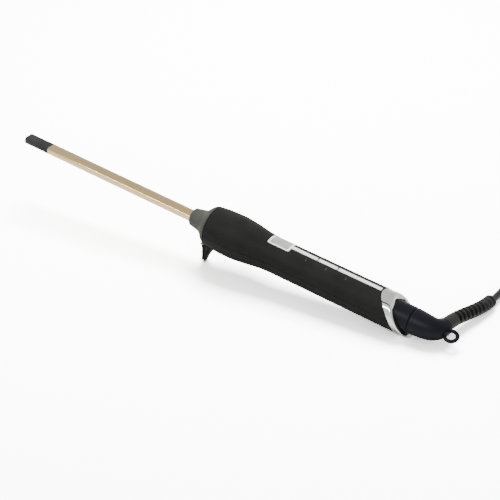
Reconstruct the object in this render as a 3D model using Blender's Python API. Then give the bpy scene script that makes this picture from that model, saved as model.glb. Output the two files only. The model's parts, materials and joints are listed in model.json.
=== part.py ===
"""A curling wand with a slim rectangular barrel, a rest foot and a swivel cord, lying on a table.

The wand frame has +X along the wand from the tip to the cord, +Z up through the display, and its origin on
the wand's axis at the seam between the nose collar and the handle. The world frame has +Z up from the table,
with its origin under the middle of the wand. The wand stands in it on its foot and on its end ring, so its
front is pitched up. Cord pieces are placed straight in the world frame.
"""

import math

import bmesh
import bpy
from mathutils import Matrix, Vector

MM = 0.001
GAP = 0.3 * MM  # between pieces that touch
SIDES = 40  # facets round a turned piece

# Barrel, and what is in it
BARREL_LENGTH = 145.8 * MM  # from the tip cap to the collar's front
BARREL_WIDTH = 10.1 * MM
BARREL_HEIGHT = 6.1 * MM
BARREL_CORNER = 2.0 * MM
BARREL_WALL = 0.9 * MM
BORE_CORNER = 0.4 * MM
BARREL_INSIDE = 20.0 * MM  # how far the barrel runs behind the seam
TIP_LENGTH = 24.2 * MM
TIP_SPIGOT = 9.0 * MM
TIP_CHAMFER = 1.0 * MM
HEATER_LENGTH = 112.0 * MM
HEATER_THICKNESS = 1.3 * MM
HEATER_END = -30.0 * MM  # x of the heater's rear end
SPREADER_THICKNESS = 1.1 * MM
SPRING_STRIP = 0.35 * MM
LEAD_RADIUS = 0.6 * MM
SENSOR_RADIUS = 0.8 * MM

# Nose collar and foot
COLLAR_LENGTH = 19.5 * MM
COLLAR_FRONT_RADIUS = 7.4 * MM
COLLAR_NECK_RADIUS = 9.3 * MM
FLANGE_RADIUS = 16.2 * MM
SPIGOT_LENGTH = 6.0 * MM
FOOT_DEPTH = 36.0 * MM  # from the wand's axis to the foot's tip
FOOT_TIP_BACK = -4.0 * MM  # x of the back of the foot's tip, where it stands
FOOT_HALF_WIDTH = 4.2 * MM
FOOT_ROOT_HALF_WIDTH = 7.6 * MM  # where it leaves the handle
FOOT_SKIN = 1.4 * MM  # thickness of the collar's skin down the foot's front

# Handle
FRONT_RADIUS = 16.4 * MM
BULB_RADIUS = 17.65 * MM
BULB_X = 20.0 * MM
GRIP_RADIUS = 14.0 * MM
GRIP_X = 59.0 * MM  # where the bulb has run out
WALL = 2.0 * MM
SCREW_X = (34.0 * MM, 135.6 * MM)
SCREW_RADIUS = 1.2 * MM
SCREW_HEAD_RADIUS = 2.6 * MM
SCREW_HEAD_HEIGHT = 1.7 * MM
UPPER_BOSS_RADIUS = 3.4 * MM
LOWER_BOSS_RADIUS = 4.4 * MM
BOSS_WEB = 2.0 * MM

# Display and buttons, along the top
BEZEL_X = (52.0 * MM, 71.2 * MM)
BEZEL_HALF_WIDTH = 5.6 * MM
BEZEL_RIM = 1.7 * MM
TRIM_STAND = 0.35 * MM  # how far the bezel, buttons and trim stand above the handle
STRIP_HALF_WIDTH = 1.7 * MM
BUTTON_NAMES = ("power", "minus", "plus")
FIRST_BUTTON_X = 85.5 * MM
BUTTON_PITCH = 17.5 * MM
BUTTON_SPACE = 1.1 * MM  # between one button and the next
BUTTON_LENGTH = BUTTON_PITCH - BUTTON_SPACE
BUTTON_TRAVEL = 0.5 * MM
BUTTON_FLANGE_HALF_WIDTH = 2.7 * MM
BUTTON_FLANGE_THICKNESS = 1.0 * MM
SWITCH_SIDE = 4.5 * MM
SWITCH_HEIGHT = 2.9 * MM
BOARD_X = (46.0 * MM, 130.4 * MM)
BOARD_HALF_WIDTH = 9.0 * MM
BOARD_BOTTOM = 3.4 * MM
BOARD_THICKNESS = 1.6 * MM

# End ring: its front edge is an arc seen from the side, and its back is a slanted plane
RING_ARC_RADIUS = 55.0 * MM
RING_ARC_X = 119.3 * MM
RING_ARC_Z = -31.5 * MM
RING_BACK_X = 170.5 * MM  # where the plane crosses the axis
RING_BACK_SLOPE = 0.74  # x lost for each z gained
RING_EDGE = 1.1 * MM
RING_BORE = 10.5 * MM
RING_SPIGOT_X = 142.0 * MM
RING_SPIGOT_RADIUS = GRIP_RADIUS - WALL - GAP

# Swivel: x of the seam that it turns at, and distances from that seam
SEAM_X = 177.9 * MM
CAP_RADIUS = 10.2 * MM
CAP_WALL = 1.6 * MM
CAP_LENGTH = 26.0 * MM
CAP_END = 3.0 * MM
SPINDLE_RADIUS = 5.0 * MM
SPINDLE_BORE = 3.4 * MM
SPINDLE_LENGTH = 24.0 * MM
RUNNING_GAP = 0.3 * MM  # between the spindle and the cap's bore
SLIP_RING_X = (-12.0 * MM, -20.0 * MM)
SLIP_RING_LENGTH = 3.0 * MM
SLIP_RING_THICKNESS = 1.0 * MM
HOUSING_WALL = 1.6 * MM
MOUTH_WALL = 1.1 * MM
RELIEF_ROOT_RADIUS = 5.4 * MM
RELIEF_END_RADIUS = 5.1 * MM
RELIEF_GROOVES = 10
RELIEF_PITCH = 4.5 * MM
RELIEF_GROOVE_DEPTH = 1.5 * MM
RELIEF_GROOVE_WIDTH = 1.9 * MM
LOOP_CENTRE = Vector((30.8, 2.6, -0.4)) * MM
LOOP_RADIUS = 5.85 * MM
LOOP_HOLE_RADIUS = 3.65 * MM
LOOP_HEIGHT = 2.4 * MM
LOOP_AXIS = Vector((0, -math.sin(math.radians(17)), math.cos(math.radians(17))))

# Cord, in the world frame
CORD_RADIUS = 2.8 * MM
COIL_CENTRE = Vector((285.0, 62.0, 0.0)) * MM
COIL_MIDDLE_RADIUS = 31.0 * MM
COIL_TURNS_WIDE = 3
COIL_TURNS_HIGH = 4
TIE_THICKNESS = 0.6 * MM
TIE_WIDTH = 8.0 * MM
CORD_ROUTE = [
    (197.5, 66.85, 5.38),
    (197.6, 79.0, 4.2),
    (197.2, 92.0, 3.1),
    (198.0, 107.0, 2.85),
    (205.5, 121.0, 2.85),
    (219.5, 127.6, 2.85),
    (233.0, 121.8, 2.85),
    (240.4, 108.0, 2.85),
    (242.2, 92.0, 2.85),
    (242.4, 74.0, 2.85),
]
TAIL_ROUTE = [
    (290.0, 19.6, 2.85),
    (306.0, 20.0, 2.85),
    (321.0, 25.0, 2.9),
    (332.0, 36.0, 3.6),
    (336.6, 48.0, 5.6),
    (337.0, 59.7, 6.95),
]
PLUG_X = 337.0 * MM
PLUG_GUARD_Y = (60.0 * MM, 77.7 * MM)
PLUG_LENGTH = 35.0 * MM
PLUG_WIDTH = 25.0 * MM
PLUG_NECK_WIDTH = 13.0 * MM
PLUG_THICKNESS = 13.7 * MM
PIN_RADIUS = 2.0 * MM
PIN_LENGTH = 19.0 * MM
PIN_SPACING = 18.6 * MM

# Worked out from the values above
TIP_BACK_X = -COLLAR_LENGTH - BARREL_LENGTH
TIP_X = TIP_BACK_X - TIP_LENGTH
BOARD_TOP = BOARD_BOTTOM + BOARD_THICKNESS
TRIM_RADIUS = GRIP_RADIUS + TRIM_STAND
TRIM_FLOOR = GRIP_RADIUS - 0.6 * WALL  # z of the floor of the trim's groove
BUTTONS_X = [FIRST_BUTTON_X + i * BUTTON_PITCH for i in range(len(BUTTON_NAMES))]
STRIP_END_X = BUTTONS_X[-1] + BUTTON_LENGTH / 2 + GAP


def ring_front(z):
    """x of the handle's rear edge at height z."""
    return RING_ARC_X + math.sqrt(RING_ARC_RADIUS**2 - (z - RING_ARC_Z) ** 2)


def ring_seat(z):
    """x of the end ring's own front, which leaves a gap square to the handle's edge."""
    slope = (z - RING_ARC_Z) / (ring_front(z) - RING_ARC_X)
    return ring_front(z) + GAP * math.sqrt(1 + slope**2)


def ring_back(z):
    """x of the end ring's back face at height z."""
    return RING_BACK_X - RING_BACK_SLOPE * z


def handle_radius(x):
    """The handle's outer radius: a front that swells to the bulb, then eases down to the grip."""
    if x < BULB_X:
        return BULB_RADIUS - (BULB_RADIUS - FRONT_RADIUS) * (1 - x / BULB_X) ** 2
    t = min(1.0, (x - BULB_X) / (GRIP_X - BULB_X))
    return GRIP_RADIUS + (BULB_RADIUS - GRIP_RADIUS) * (0.5 + 0.5 * math.cos(math.pi * t))


# The wand stands on its foot's tip and on the low back edge of its end ring.
REST_X = ring_back(-GRIP_RADIUS) - RING_EDGE
PITCH = math.atan((FOOT_DEPTH - GRIP_RADIUS) / (REST_X - FOOT_TIP_BACK))
AXIS_HEIGHT = REST_X * math.sin(PITCH) + GRIP_RADIUS * math.cos(PITCH)
FRONT_REACH = -TIP_X * math.cos(PITCH) + BARREL_HEIGHT / 2 * math.sin(PITCH)
BACK_REACH = (SEAM_X + LOOP_CENTRE.x + LOOP_RADIUS) * math.cos(PITCH)
WAND_X = (FRONT_REACH - BACK_REACH) / 2


def table_level(x):
    """z of the table under x, in the wand frame."""
    return (x * math.sin(PITCH) - AXIS_HEIGHT) / math.cos(PITCH)


# ---------------------------------------------------------------- finishes and pieces


def finish(name, colour, roughness, metallic=0.0):
    """A plain material, made once."""
    found = bpy.data.materials.get(name)
    if found:
        return found
    made = bpy.data.materials.new(name)
    made.use_nodes = True
    shader = made.node_tree.nodes["Principled BSDF"]
    shader.inputs["Base Color"].default_value = (*colour, 1.0)
    shader.inputs["Roughness"].default_value = roughness
    shader.inputs["Metallic"].default_value = metallic
    return made


def gold():
    return finish("champagne_aluminium", (0.52, 0.40, 0.24), 0.3, 1.0)


def black():
    return finish("black_soft_touch", (0.02, 0.02, 0.02), 0.6)


def grey():
    return finish("dark_grey_heat_plastic", (0.07, 0.075, 0.07), 0.7)


def navy():
    return finish("navy_black_plastic", (0.015, 0.016, 0.025), 0.5)


def chrome():
    return finish("chrome_plate", (0.8, 0.8, 0.8), 0.08, 1.0)


def rubber():
    return finish("black_pvc", (0.02, 0.02, 0.02), 0.45)


def steel():
    return finish("zinc_steel", (0.6, 0.6, 0.6), 0.35, 1.0)


def brass():
    return finish("brass", (0.7, 0.5, 0.2), 0.3, 1.0)


def aluminium():
    return finish("plain_aluminium", (0.75, 0.75, 0.75), 0.4, 1.0)


def ceramic():
    return finish("white_ceramic", (0.85, 0.83, 0.8), 0.5)


def board_green():
    return finish("circuit_laminate", (0.02, 0.12, 0.04), 0.5)


def part_black():
    return finish("component_epoxy", (0.03, 0.03, 0.03), 0.4)


def glass():
    return finish("grey_window", (0.6, 0.62, 0.6), 0.1)


def empty(name, parent=None, location=(0, 0, 0), turn=0.0):
    """A frame that pieces are placed in, turned about Y."""
    frame = bpy.data.objects.new(name, None)
    bpy.context.collection.objects.link(frame)
    frame.parent = parent
    frame.location = location
    frame.rotation_euler = (0, turn, 0)
    return frame


def piece(name, shape, look, parent=None, location=(0, 0, 0)):
    """An object from a bmesh, with its faces pointing out and its round sides shaded smooth."""
    bmesh.ops.recalc_face_normals(shape, faces=shape.faces)
    mesh = bpy.data.meshes.new(name)
    shape.to_mesh(mesh)
    shape.free()
    mesh.shade_smooth()
    mesh.set_sharp_from_angle(angle=math.radians(32))
    mesh.materials.append(look)
    made = bpy.data.objects.new(name, mesh)
    bpy.context.collection.objects.link(made)
    made.parent = parent
    made.location = location
    return made


def combine(target, shape, operation, clear=None):
    """Cuts a shape from the target, or joins it on, with a Boolean. The shape is in the target's frame.

    What `clear` fills is cut from the shape first.
    """
    name = f"{target.name}_{operation.lower()}_{len(target.modifiers)}"
    tool = piece(name, shape, target.data.materials[0], target.parent, target.location)
    tool.hide_render = True
    tool.display_type = "WIRE"
    if clear:
        cut(tool, clear)
    modifier = target.modifiers.new(operation.title(), "BOOLEAN")
    modifier.operation = operation
    modifier.solver = "EXACT"
    modifier.object = tool


def cut(target, shape):
    combine(target, shape, "DIFFERENCE")


def join(target, shape, clear=None):
    combine(target, shape, "UNION", clear)


# ---------------------------------------------------------------- shapes


def block(x, y, z, edge=0.0):
    """A box between two values on each axis, with its edges bevelled."""
    shape = bmesh.new()
    size = Vector((x[1] - x[0], y[1] - y[0], z[1] - z[0]))
    middle = Vector((sum(x), sum(y), sum(z))) / 2
    place = Matrix.Translation(middle) @ Matrix.Diagonal((*size, 1.0))
    bmesh.ops.create_cube(shape, size=1.0, matrix=place)
    if edge:
        bmesh.ops.bevel(
            shape, geom=shape.edges[:], offset=edge, segments=2, profile=0.5, affect="EDGES"
        )
    return shape


def rod(start, end, radius, end_radius=None, sides=16):
    """A round bar, or a cone, from one point to another."""
    shape = bmesh.new()
    start, end = Vector(start), Vector(end)
    along = end - start
    turn = along.to_track_quat("Z", "Y").to_matrix().to_4x4()
    bmesh.ops.create_cone(
        shape,
        cap_ends=True,
        segments=sides,
        radius1=radius,
        radius2=radius if end_radius is None else end_radius,
        depth=along.length,
        matrix=Matrix.Translation((start + end) / 2) @ turn,
    )
    return shape


def turned(outline, sides=SIDES):
    """A solid of revolution about X, from (x, radius) points. The outline closes unless it ends on the axis."""
    shape = bmesh.new()
    points = [shape.verts.new((x, 0.0, r)) for x, r in outline]
    edges = [shape.edges.new(pair) for pair in zip(points, points[1:])]
    if outline[0][1] > 0:
        edges.append(shape.edges.new((points[-1], points[0])))
    bmesh.ops.spin(
        shape,
        geom=points + edges,
        cent=(0, 0, 0),
        axis=(1, 0, 0),
        angle=2 * math.pi,
        steps=sides,
        use_merge=True,
    )
    bmesh.ops.remove_doubles(shape, verts=shape.verts, dist=1e-6)
    return shape


def lofted(sections, wrap=False):
    """A solid through closed sections of equally many points. It is capped, or goes round to its start."""
    shape = bmesh.new()
    rings = [[shape.verts.new(p) for p in section] for section in sections]
    count = len(rings[0])
    pairs = list(zip(rings, rings[1:]))
    if wrap:
        pairs.append((rings[-1], rings[0]))
    else:
        shape.faces.new(rings[0])
        shape.faces.new(rings[-1])
    for a, b in pairs:
        for i in range(count):
            j = (i + 1) % count
            shape.faces.new((a[i], a[j], b[j], b[i]))
    return shape


def rounded_outline(width, height, corner, steps=4):
    """(across, up) points round a rectangle with round corners, centred on the origin."""
    points = []
    for quarter in range(4):
        side = 1 if quarter in (0, 3) else -1
        rise = 1 if quarter in (0, 1) else -1
        for step in range(steps + 1):
            turn = math.radians(90 * (quarter + step / steps))
            across = side * (width / 2 - corner) + corner * math.cos(turn)
            up = rise * (height / 2 - corner) + corner * math.sin(turn)
            points.append((across, up))
    return points


def bar_section(x, width, height, corner):
    """A rounded rectangle across the wand at x."""
    return [Vector((x, y, z)) for y, z in rounded_outline(width, height, corner)]


def level_section(z, front, back, half_width):
    """A rounded rectangle level with the wand's axis, at depth z under it."""
    corner = 0.45 * min(back - front, 2 * half_width)
    middle = (front + back) / 2
    outline = rounded_outline(back - front, 2 * half_width, corner, steps=3)
    return [Vector((middle + x, y, z)) for x, y in outline]


def curved_slab(x, half_width, inner, outer, steps=6):
    """A slab that follows the handle's round top between two radii."""
    sections = []
    for place in x:
        arcs = []
        for radius, way in ((outer, 1), (inner, -1)):
            reach = math.asin(half_width / radius)
            for step in range(steps + 1):
                turn = way * reach * (2 * step / steps - 1)
                arcs.append(Vector((place, radius * math.sin(turn), radius * math.cos(turn))))
        sections.append(arcs)
    return lofted(sections)


def round_section(centre, along, radius, sides):
    """A circle round a point of a path that lies about level in the wand frame."""
    side = Vector((-along.y, along.x, 0.0)).normalized()
    up = along.cross(side).normalized()
    turns = [2 * math.pi * i / sides for i in range(sides)]
    return [centre + radius * (math.cos(t) * side + math.sin(t) * up) for t in turns]


def bezier(points, t):
    """Place and direction on a cubic Bezier curve."""
    a, b, c, d = points
    s = 1 - t
    place = s**3 * a + 3 * s * s * t * b + 3 * s * t * t * c + t**3 * d
    along = 3 * s * s * (b - a) + 6 * s * t * (c - b) + 3 * t * t * (d - c)
    return place, along.normalized()


def smooth_route(points, spacing):
    """Evenly spaced points on the Catmull-Rom curve through the route's points."""
    route = [Vector(p) for p in points]
    ends = [2 * route[0] - route[1], *route, 2 * route[-1] - route[-2]]
    fine = []
    for a, b, c, d in zip(ends, ends[1:], ends[2:], ends[3:]):
        for step in range(40):
            t = step / 40
            fine.append(
                0.5
                * (
                    2 * b
                    + (c - a) * t
                    + (2 * a - 5 * b + 4 * c - d) * t * t
                    + (3 * b - 3 * c + d - a) * t**3
                )
            )
    fine.append(route[-1])
    reach = [0.0]
    for a, b in zip(fine, fine[1:]):
        reach.append(reach[-1] + (b - a).length)
    count = max(2, round(reach[-1] / spacing))
    even, at = [], 0
    for i in range(count + 1):
        goal = reach[-1] * i / count
        while at < len(reach) - 2 and reach[at + 1] < goal:
            at += 1
        share = (goal - reach[at]) / max(1e-9, reach[at + 1] - reach[at])
        even.append(fine[at].lerp(fine[at + 1], min(1.0, share)))
    return even


def cable(name, points, radius, look, parent=None, resolution=2):
    """A round cable along points: a curve with a bevel and filled caps."""
    data = bpy.data.curves.new(name, "CURVE")
    data.dimensions = "3D"
    data.bevel_depth = radius
    data.bevel_resolution = resolution
    data.use_fill_caps = True
    spline = data.splines.new("POLY")
    spline.points.add(len(points) - 1)
    for point, place in zip(spline.points, points):
        point.co = (*place, 1.0)
    data.materials.append(look)
    made = bpy.data.objects.new(name, data)
    bpy.context.collection.objects.link(made)
    made.parent = parent
    return made


# ---------------------------------------------------------------- barrel


def make_barrel(wand):
    bore = (BARREL_WIDTH - 2 * BARREL_WALL, BARREL_HEIGHT - 2 * BARREL_WALL)
    front, back = TIP_BACK_X + GAP, BARREL_INSIDE
    tube = [
        bar_section(front, BARREL_WIDTH, BARREL_HEIGHT, BARREL_CORNER),
        bar_section(back, BARREL_WIDTH, BARREL_HEIGHT, BARREL_CORNER),
        bar_section(back, *bore, BORE_CORNER),
        bar_section(front, *bore, BORE_CORNER),
    ]
    piece("barrel", lofted(tube, wrap=True), gold(), wand)

    spigot = (bore[0] - 2 * GAP, bore[1] - 2 * GAP)
    small = (BARREL_WIDTH - 2 * TIP_CHAMFER, BARREL_HEIGHT - 2 * TIP_CHAMFER)
    cap = [
        bar_section(TIP_X, *small, BARREL_CORNER),
        bar_section(TIP_X + TIP_CHAMFER, BARREL_WIDTH, BARREL_HEIGHT, BARREL_CORNER),
        bar_section(TIP_BACK_X, BARREL_WIDTH, BARREL_HEIGHT, BARREL_CORNER),
        bar_section(TIP_BACK_X, *spigot, BORE_CORNER),
        bar_section(TIP_BACK_X + TIP_SPIGOT, *spigot, BORE_CORNER),
    ]
    piece("tip_cap", lofted(cap), black(), wand)

    floor = -bore[1] / 2 + GAP
    half = bore[0] / 2 - GAP
    span = (HEATER_END - HEATER_LENGTH, HEATER_END)
    spreader_top = floor + SPREADER_THICKNESS
    spreader = block(span, (-half, half), (floor, spreader_top))
    piece("heat_spreader", spreader, aluminium(), wand)
    heater_floor = spreader_top + GAP
    heater_top = heater_floor + HEATER_THICKNESS
    plate = block(span, (-half, half), (heater_floor, heater_top))
    piece("heater", plate, ceramic(), wand)
    low, high = heater_top + GAP, bore[1] / 2 - GAP
    piece("heater_spring", wavy_strip(span, half, low, high), steel(), wand)
    middle = HEATER_END + 5 * MM
    sensor = rod((middle - 1.6 * MM, 0, 0), (middle + 1.6 * MM, 0, 0), SENSOR_RADIUS, sides=10)
    piece("temperature_sensor", sensor, part_black(), wand)


def wavy_strip(span, half, low, high, waves=6):
    """A spring strip that waves between two heights."""
    sections = []
    steps = waves * 4
    swing = (high - low - SPRING_STRIP) / 2
    for i in range(steps + 1):
        x = span[0] + (span[1] - span[0]) * i / steps
        z = low + swing * (1 - math.cos(2 * math.pi * waves * i / steps))
        corners = ((-half, z), (half, z), (half, z + SPRING_STRIP), (-half, z + SPRING_STRIP))
        sections.append([Vector((x, y, up)) for y, up in corners])
    return lofted(sections)


def make_heater_leads(wand):
    for name, side in (("heater_lead_left", -1), ("heater_lead_right", 1)):
        route = [
            (HEATER_END + GAP, side * 2.0 * MM, 0.0),
            (0.0, side * 2.0 * MM, 0.0),
            (BARREL_INSIDE, side * 2.2 * MM, 0.1 * MM),
            (SCREW_X[0] - 8 * MM, side * 4.4 * MM, 0.8 * MM),
            (SCREW_X[0], side * 5.9 * MM, 1.4 * MM),
            (BOARD_X[0] - GAP, side * 5.2 * MM, 1.8 * MM),
            (BOARD_X[0] + 6 * MM, side * 5.0 * MM, BOARD_BOTTOM - LEAD_RADIUS - GAP),
        ]
        cable(name, smooth_route(route, 5 * MM), LEAD_RADIUS, ceramic(), wand, resolution=1)


# ---------------------------------------------------------------- nose


def foot_front(z):
    """x of the foot's front at depth z: it leaves the collar's neck in a curve, then runs nearly straight."""
    below_neck = max(0.0, (-z - COLLAR_NECK_RADIUS) / (FOOT_DEPTH - COLLAR_NECK_RADIUS))
    return (-6.4 - 3.4 * math.exp(-7.0 * below_neck) - 0.5 * (1 - below_neck)) * MM


def foot_half_width(z):
    """Half the foot's width at depth z: it flows out of the handle's sides, then tapers a little."""
    below = max(0.0, -z - FLANGE_RADIUS)
    root = (FOOT_ROOT_HALF_WIDTH - 1.15 * FOOT_HALF_WIDTH) * math.exp(-below / (2.6 * MM))
    return FOOT_HALF_WIDTH * (1.15 - 0.15 * below / (FOOT_DEPTH - FLANGE_RADIUS)) + root


def make_nose_collar(wand):
    front = -COLLAR_LENGTH
    neck = COLLAR_NECK_RADIUS
    outline = [
        (front, 0.0),
        (front, COLLAR_FRONT_RADIUS - 0.5 * MM),
        (front + 0.5 * MM, COLLAR_FRONT_RADIUS),
        (-12.0 * MM, neck - 0.5 * MM),
        (-9.4 * MM, neck + 0.2 * MM),
        (-7.8 * MM, neck + 1.1 * MM),
        (-6.4 * MM, neck + 2.6 * MM),
        (-4.6 * MM, neck + 4.6 * MM),
        (-3.0 * MM, FLANGE_RADIUS - 0.9 * MM),
        (-1.6 * MM, FLANGE_RADIUS - 0.1 * MM),
        (-GAP, FLANGE_RADIUS),
        (-GAP, FRONT_RADIUS - WALL - GAP),
        (SPIGOT_LENGTH, FRONT_RADIUS - WALL - GAP),
        (SPIGOT_LENGTH, FRONT_RADIUS - 2 * WALL - GAP),
        (-1.0 * MM, FRONT_RADIUS - 2 * WALL - GAP),
        (-5.4 * MM, neck - 1.0 * MM),
        (-5.4 * MM, 0.0),
    ]
    collar = piece("nose_collar", turned(outline), grey(), wand)

    ledge = -FLANGE_RADIUS
    skin_back = foot_front(-0.8 * FOOT_DEPTH) + FOOT_SKIN
    sections = []
    for depth, share in ((-neck, 0.7), (-neck - 2.5 * MM, 0.74), (ledge + 1.5 * MM, 0.9), (ledge, 1.0)):
        half = share * FOOT_ROOT_HALF_WIDTH
        sections.append(level_section(depth, foot_front(depth), -1.0 * MM, half))
    sections.append(level_section(ledge - 0.05 * MM, foot_front(ledge), skin_back, half))
    for share, width in ((0.5, 1.0), (0.55, 1.0), (0.65, 1.0), (0.77, 0.94), (0.87, 0.84), (0.96, 0.66)):
        depth = -share * FOOT_DEPTH
        half = foot_half_width(depth) * width
        sections.append(level_section(depth, foot_front(depth), skin_back, half))
    join(collar, lofted(sections))

    opening = [
        bar_section(x, BARREL_WIDTH + 2 * GAP, BARREL_HEIGHT + 2 * GAP, BARREL_CORNER + GAP)
        for x in (front - 1 * MM, 0.0)
    ]
    cut(collar, lofted(opening))


def make_barrel_holder(wand):
    """A heat-proof bush that holds the barrel's rear end in the handle."""
    disc_x = (SPIGOT_LENGTH + GAP, SPIGOT_LENGTH + GAP + 3 * MM)
    disc_radius = handle_radius(disc_x[0]) - WALL - GAP
    hub = COLLAR_NECK_RADIUS - 1.7 * MM
    back = BARREL_INSIDE + 2 * MM
    outline = [
        (-5.1 * MM, 0.0),
        (-5.1 * MM, hub),
        (disc_x[0], hub),
        (disc_x[0], disc_radius),
        (disc_x[1], disc_radius),
        (disc_x[1], hub + 1.4 * MM),
        (back, hub + 1.4 * MM),
        (back, 0.0),
    ]
    holder = piece("barrel_holder", turned(outline), ceramic(), wand)
    bore = [
        bar_section(x, BARREL_WIDTH + 2 * GAP, BARREL_HEIGHT + 2 * GAP, BARREL_CORNER + GAP)
        for x in (-8 * MM, back + 1 * MM)
    ]
    cut(holder, lofted(bore))


# ---------------------------------------------------------------- handle shells


def half_shell(way):
    """The upper (1) or lower (-1) half of the handle, from its front to the end ring's arc."""
    stations = [GAP, 5 * MM, 10 * MM, 15 * MM, BULB_X, 26 * MM, 32 * MM, 38 * MM, 44 * MM, 51 * MM]
    stations += [GRIP_X, RING_SPIGOT_X - 4 * MM, None]
    steps = 22
    sections = []
    for step in range(steps + 1):
        section = []
        for wall, order in ((0.0, 1), (WALL, -1)):
            for x in stations[::order]:
                radius = handle_radius(GRIP_X if x is None else x) - wall
                low = math.asin(GAP / 2 / radius)
                turn = low + (math.pi - 2 * low) * step / steps
                z = way * radius * math.sin(turn)
                place = ring_front(z) if x is None else x
                section.append(Vector((place, radius * math.cos(turn), z)))
        sections.append(section)
    return lofted(sections)


def boss_top(x):
    """z of the top of the upper boss, which ends in the shell's wall, or under the trim's groove."""
    return handle_radius(x) - WALL / 2 if x < BEZEL_X[0] else TRIM_FLOOR - WALL / 4


def screw_depth(x):
    """z of the web that the screw's head bears on."""
    return -handle_radius(x) + 4.4 * MM


def make_upper_shell(wand):
    shell = piece("handle_upper_shell", half_shell(1), black(), wand)
    for x in SCREW_X:
        high = boss_top(x)
        join(shell, rod((x, 0, GAP / 2), (x, 0, high), UPPER_BOSS_RADIUS))
        hole = rod((x, 0, -1 * MM), (x, 0, high - WALL), SCREW_RADIUS + GAP, sides=12)
        cut(shell, hole)
    side = STRIP_HALF_WIDTH + GAP
    top = BULB_RADIUS + 2 * MM
    bottom = GRIP_RADIUS - 2 * WALL
    bezel_side = BEZEL_HALF_WIDTH + GAP
    opening = (BEZEL_X[0] - GAP, BEZEL_X[1] + GAP)
    cut(shell, block(opening, (-bezel_side, bezel_side), (bottom, top)))
    cut(shell, block((BEZEL_X[1] - 1 * MM, STRIP_END_X), (-side, side), (bottom, top)))
    groove = (STRIP_END_X - 1 * MM, ring_front(0))
    cut(shell, block(groove, (-side, side), (TRIM_FLOOR, top)))


def make_lower_shell(wand):
    shell = piece("handle_lower_shell", half_shell(-1), black(), wand)
    ledge = -FLANGE_RADIUS - 2 * GAP
    root_front = 2 * GAP
    fin_front = foot_front(-0.8 * FOOT_DEPTH) + FOOT_SKIN + GAP
    half = FOOT_ROOT_HALF_WIDTH
    side = math.sqrt((FRONT_RADIUS - 0.1 * MM) ** 2 - (half + 1.0 * MM) ** 2)
    sections = [
        level_section(-side, root_front, 11.5 * MM, half + 1.0 * MM),
        level_section(ledge, root_front, 9.0 * MM, half),
        level_section(ledge - 0.05 * MM, fin_front, 8.8 * MM, half),
    ]
    fin = ((0.49, 6.6, 1.0), (0.51, 5.2, 1.0), (0.55, 3.4, 1.0), (0.63, 1.3, 1.0), (0.75, -1.0, 0.96))
    fin += ((0.86, -2.5, 0.86), (0.94, -3.3, 0.74), (0.985, -3.8, 0.6))
    for share, back, width in fin:
        depth = -share * FOOT_DEPTH
        half = foot_half_width(depth) * width
        sections.append(level_section(depth, fin_front, back * MM, half))
    tip = level_section(-FOOT_DEPTH, fin_front + 0.1 * MM, FOOT_TIP_BACK, half)
    sections.append([Vector((p.x, p.y, table_level(p.x))) for p in tip])
    inside = [(x * MM, handle_radius(x * MM) - WALL / 2) for x in (0, 5, 10, 15)]
    inside = [(-1 * MM, 0.0), (-1 * MM, inside[0][1]), *inside, (15 * MM, 0.0)]
    join(shell, lofted(sections), clear=turned(inside))
    for x in SCREW_X:
        low = -handle_radius(x) + WALL / 2
        join(shell, rod((x, 0, low), (x, 0, -GAP / 2), LOWER_BOSS_RADIUS))
        bore = SCREW_HEAD_RADIUS + GAP
        cut(shell, rod((x, 0, low - 4 * MM), (x, 0, screw_depth(x)), bore))
        hole = rod((x, 0, low - 4 * MM), (x, 0, 1 * MM), SCREW_RADIUS + GAP, sides=12)
        cut(shell, hole)


def make_screws(wand):
    for name, x in zip(("front_screw", "rear_screw"), SCREW_X):
        web = screw_depth(x) - GAP
        reach = boss_top(x) - WALL - GAP
        head = rod((x, 0, web - SCREW_HEAD_HEIGHT), (x, 0, web), SCREW_HEAD_RADIUS)
        screw = piece(name, head, steel(), wand)
        join(screw, rod((x, 0, web - 0.5 * MM), (x, 0, reach), SCREW_RADIUS, sides=12))
        socket = rod((x, 0, web - 3 * MM), (x, 0, web - 0.9 * MM), 0.9 * MM, sides=6)
        cut(screw, socket)


# ---------------------------------------------------------------- display, buttons, board


def make_display(wand):
    inner = GRIP_RADIUS - WALL + 0.4 * MM
    bezel = piece(
        "display_bezel",
        curved_slab(BEZEL_X, BEZEL_HALF_WIDTH, inner, TRIM_RADIUS),
        chrome(),
        wand,
    )
    tail = (BEZEL_X[1] - 1 * MM, BUTTONS_X[0] - BUTTON_LENGTH / 2 - GAP)
    join(bezel, curved_slab(tail, STRIP_HALF_WIDTH, inner, TRIM_RADIUS))
    hole = (BEZEL_X[0] + BEZEL_RIM, BEZEL_X[1] - BEZEL_RIM)
    half = BEZEL_HALF_WIDTH - BEZEL_RIM + 0.5 * MM
    cut(bezel, block(hole, (-half, half), (inner - 3 * MM, TRIM_RADIUS + 1 * MM)))
    pane_x = (hole[0] + GAP, hole[1] - GAP)
    pane = curved_slab(pane_x, half - GAP, inner, TRIM_RADIUS - 0.25 * MM)
    piece("display_window", pane, glass(), wand)
    module_top = math.sqrt(inner**2 - (half - GAP) ** 2) - GAP
    side = half - GAP
    module = block(pane_x, (-side, side), (BOARD_TOP + GAP, module_top))
    piece("display_module", module, part_black(), wand)


def make_strip_trim(wand):
    back = ring_front(TRIM_RADIUS) - GAP
    inner = math.hypot(TRIM_FLOOR + GAP, STRIP_HALF_WIDTH)
    trim = curved_slab((STRIP_END_X, back), STRIP_HALF_WIDTH, inner, TRIM_RADIUS)
    piece("strip_trim", trim, chrome(), wand)


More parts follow.
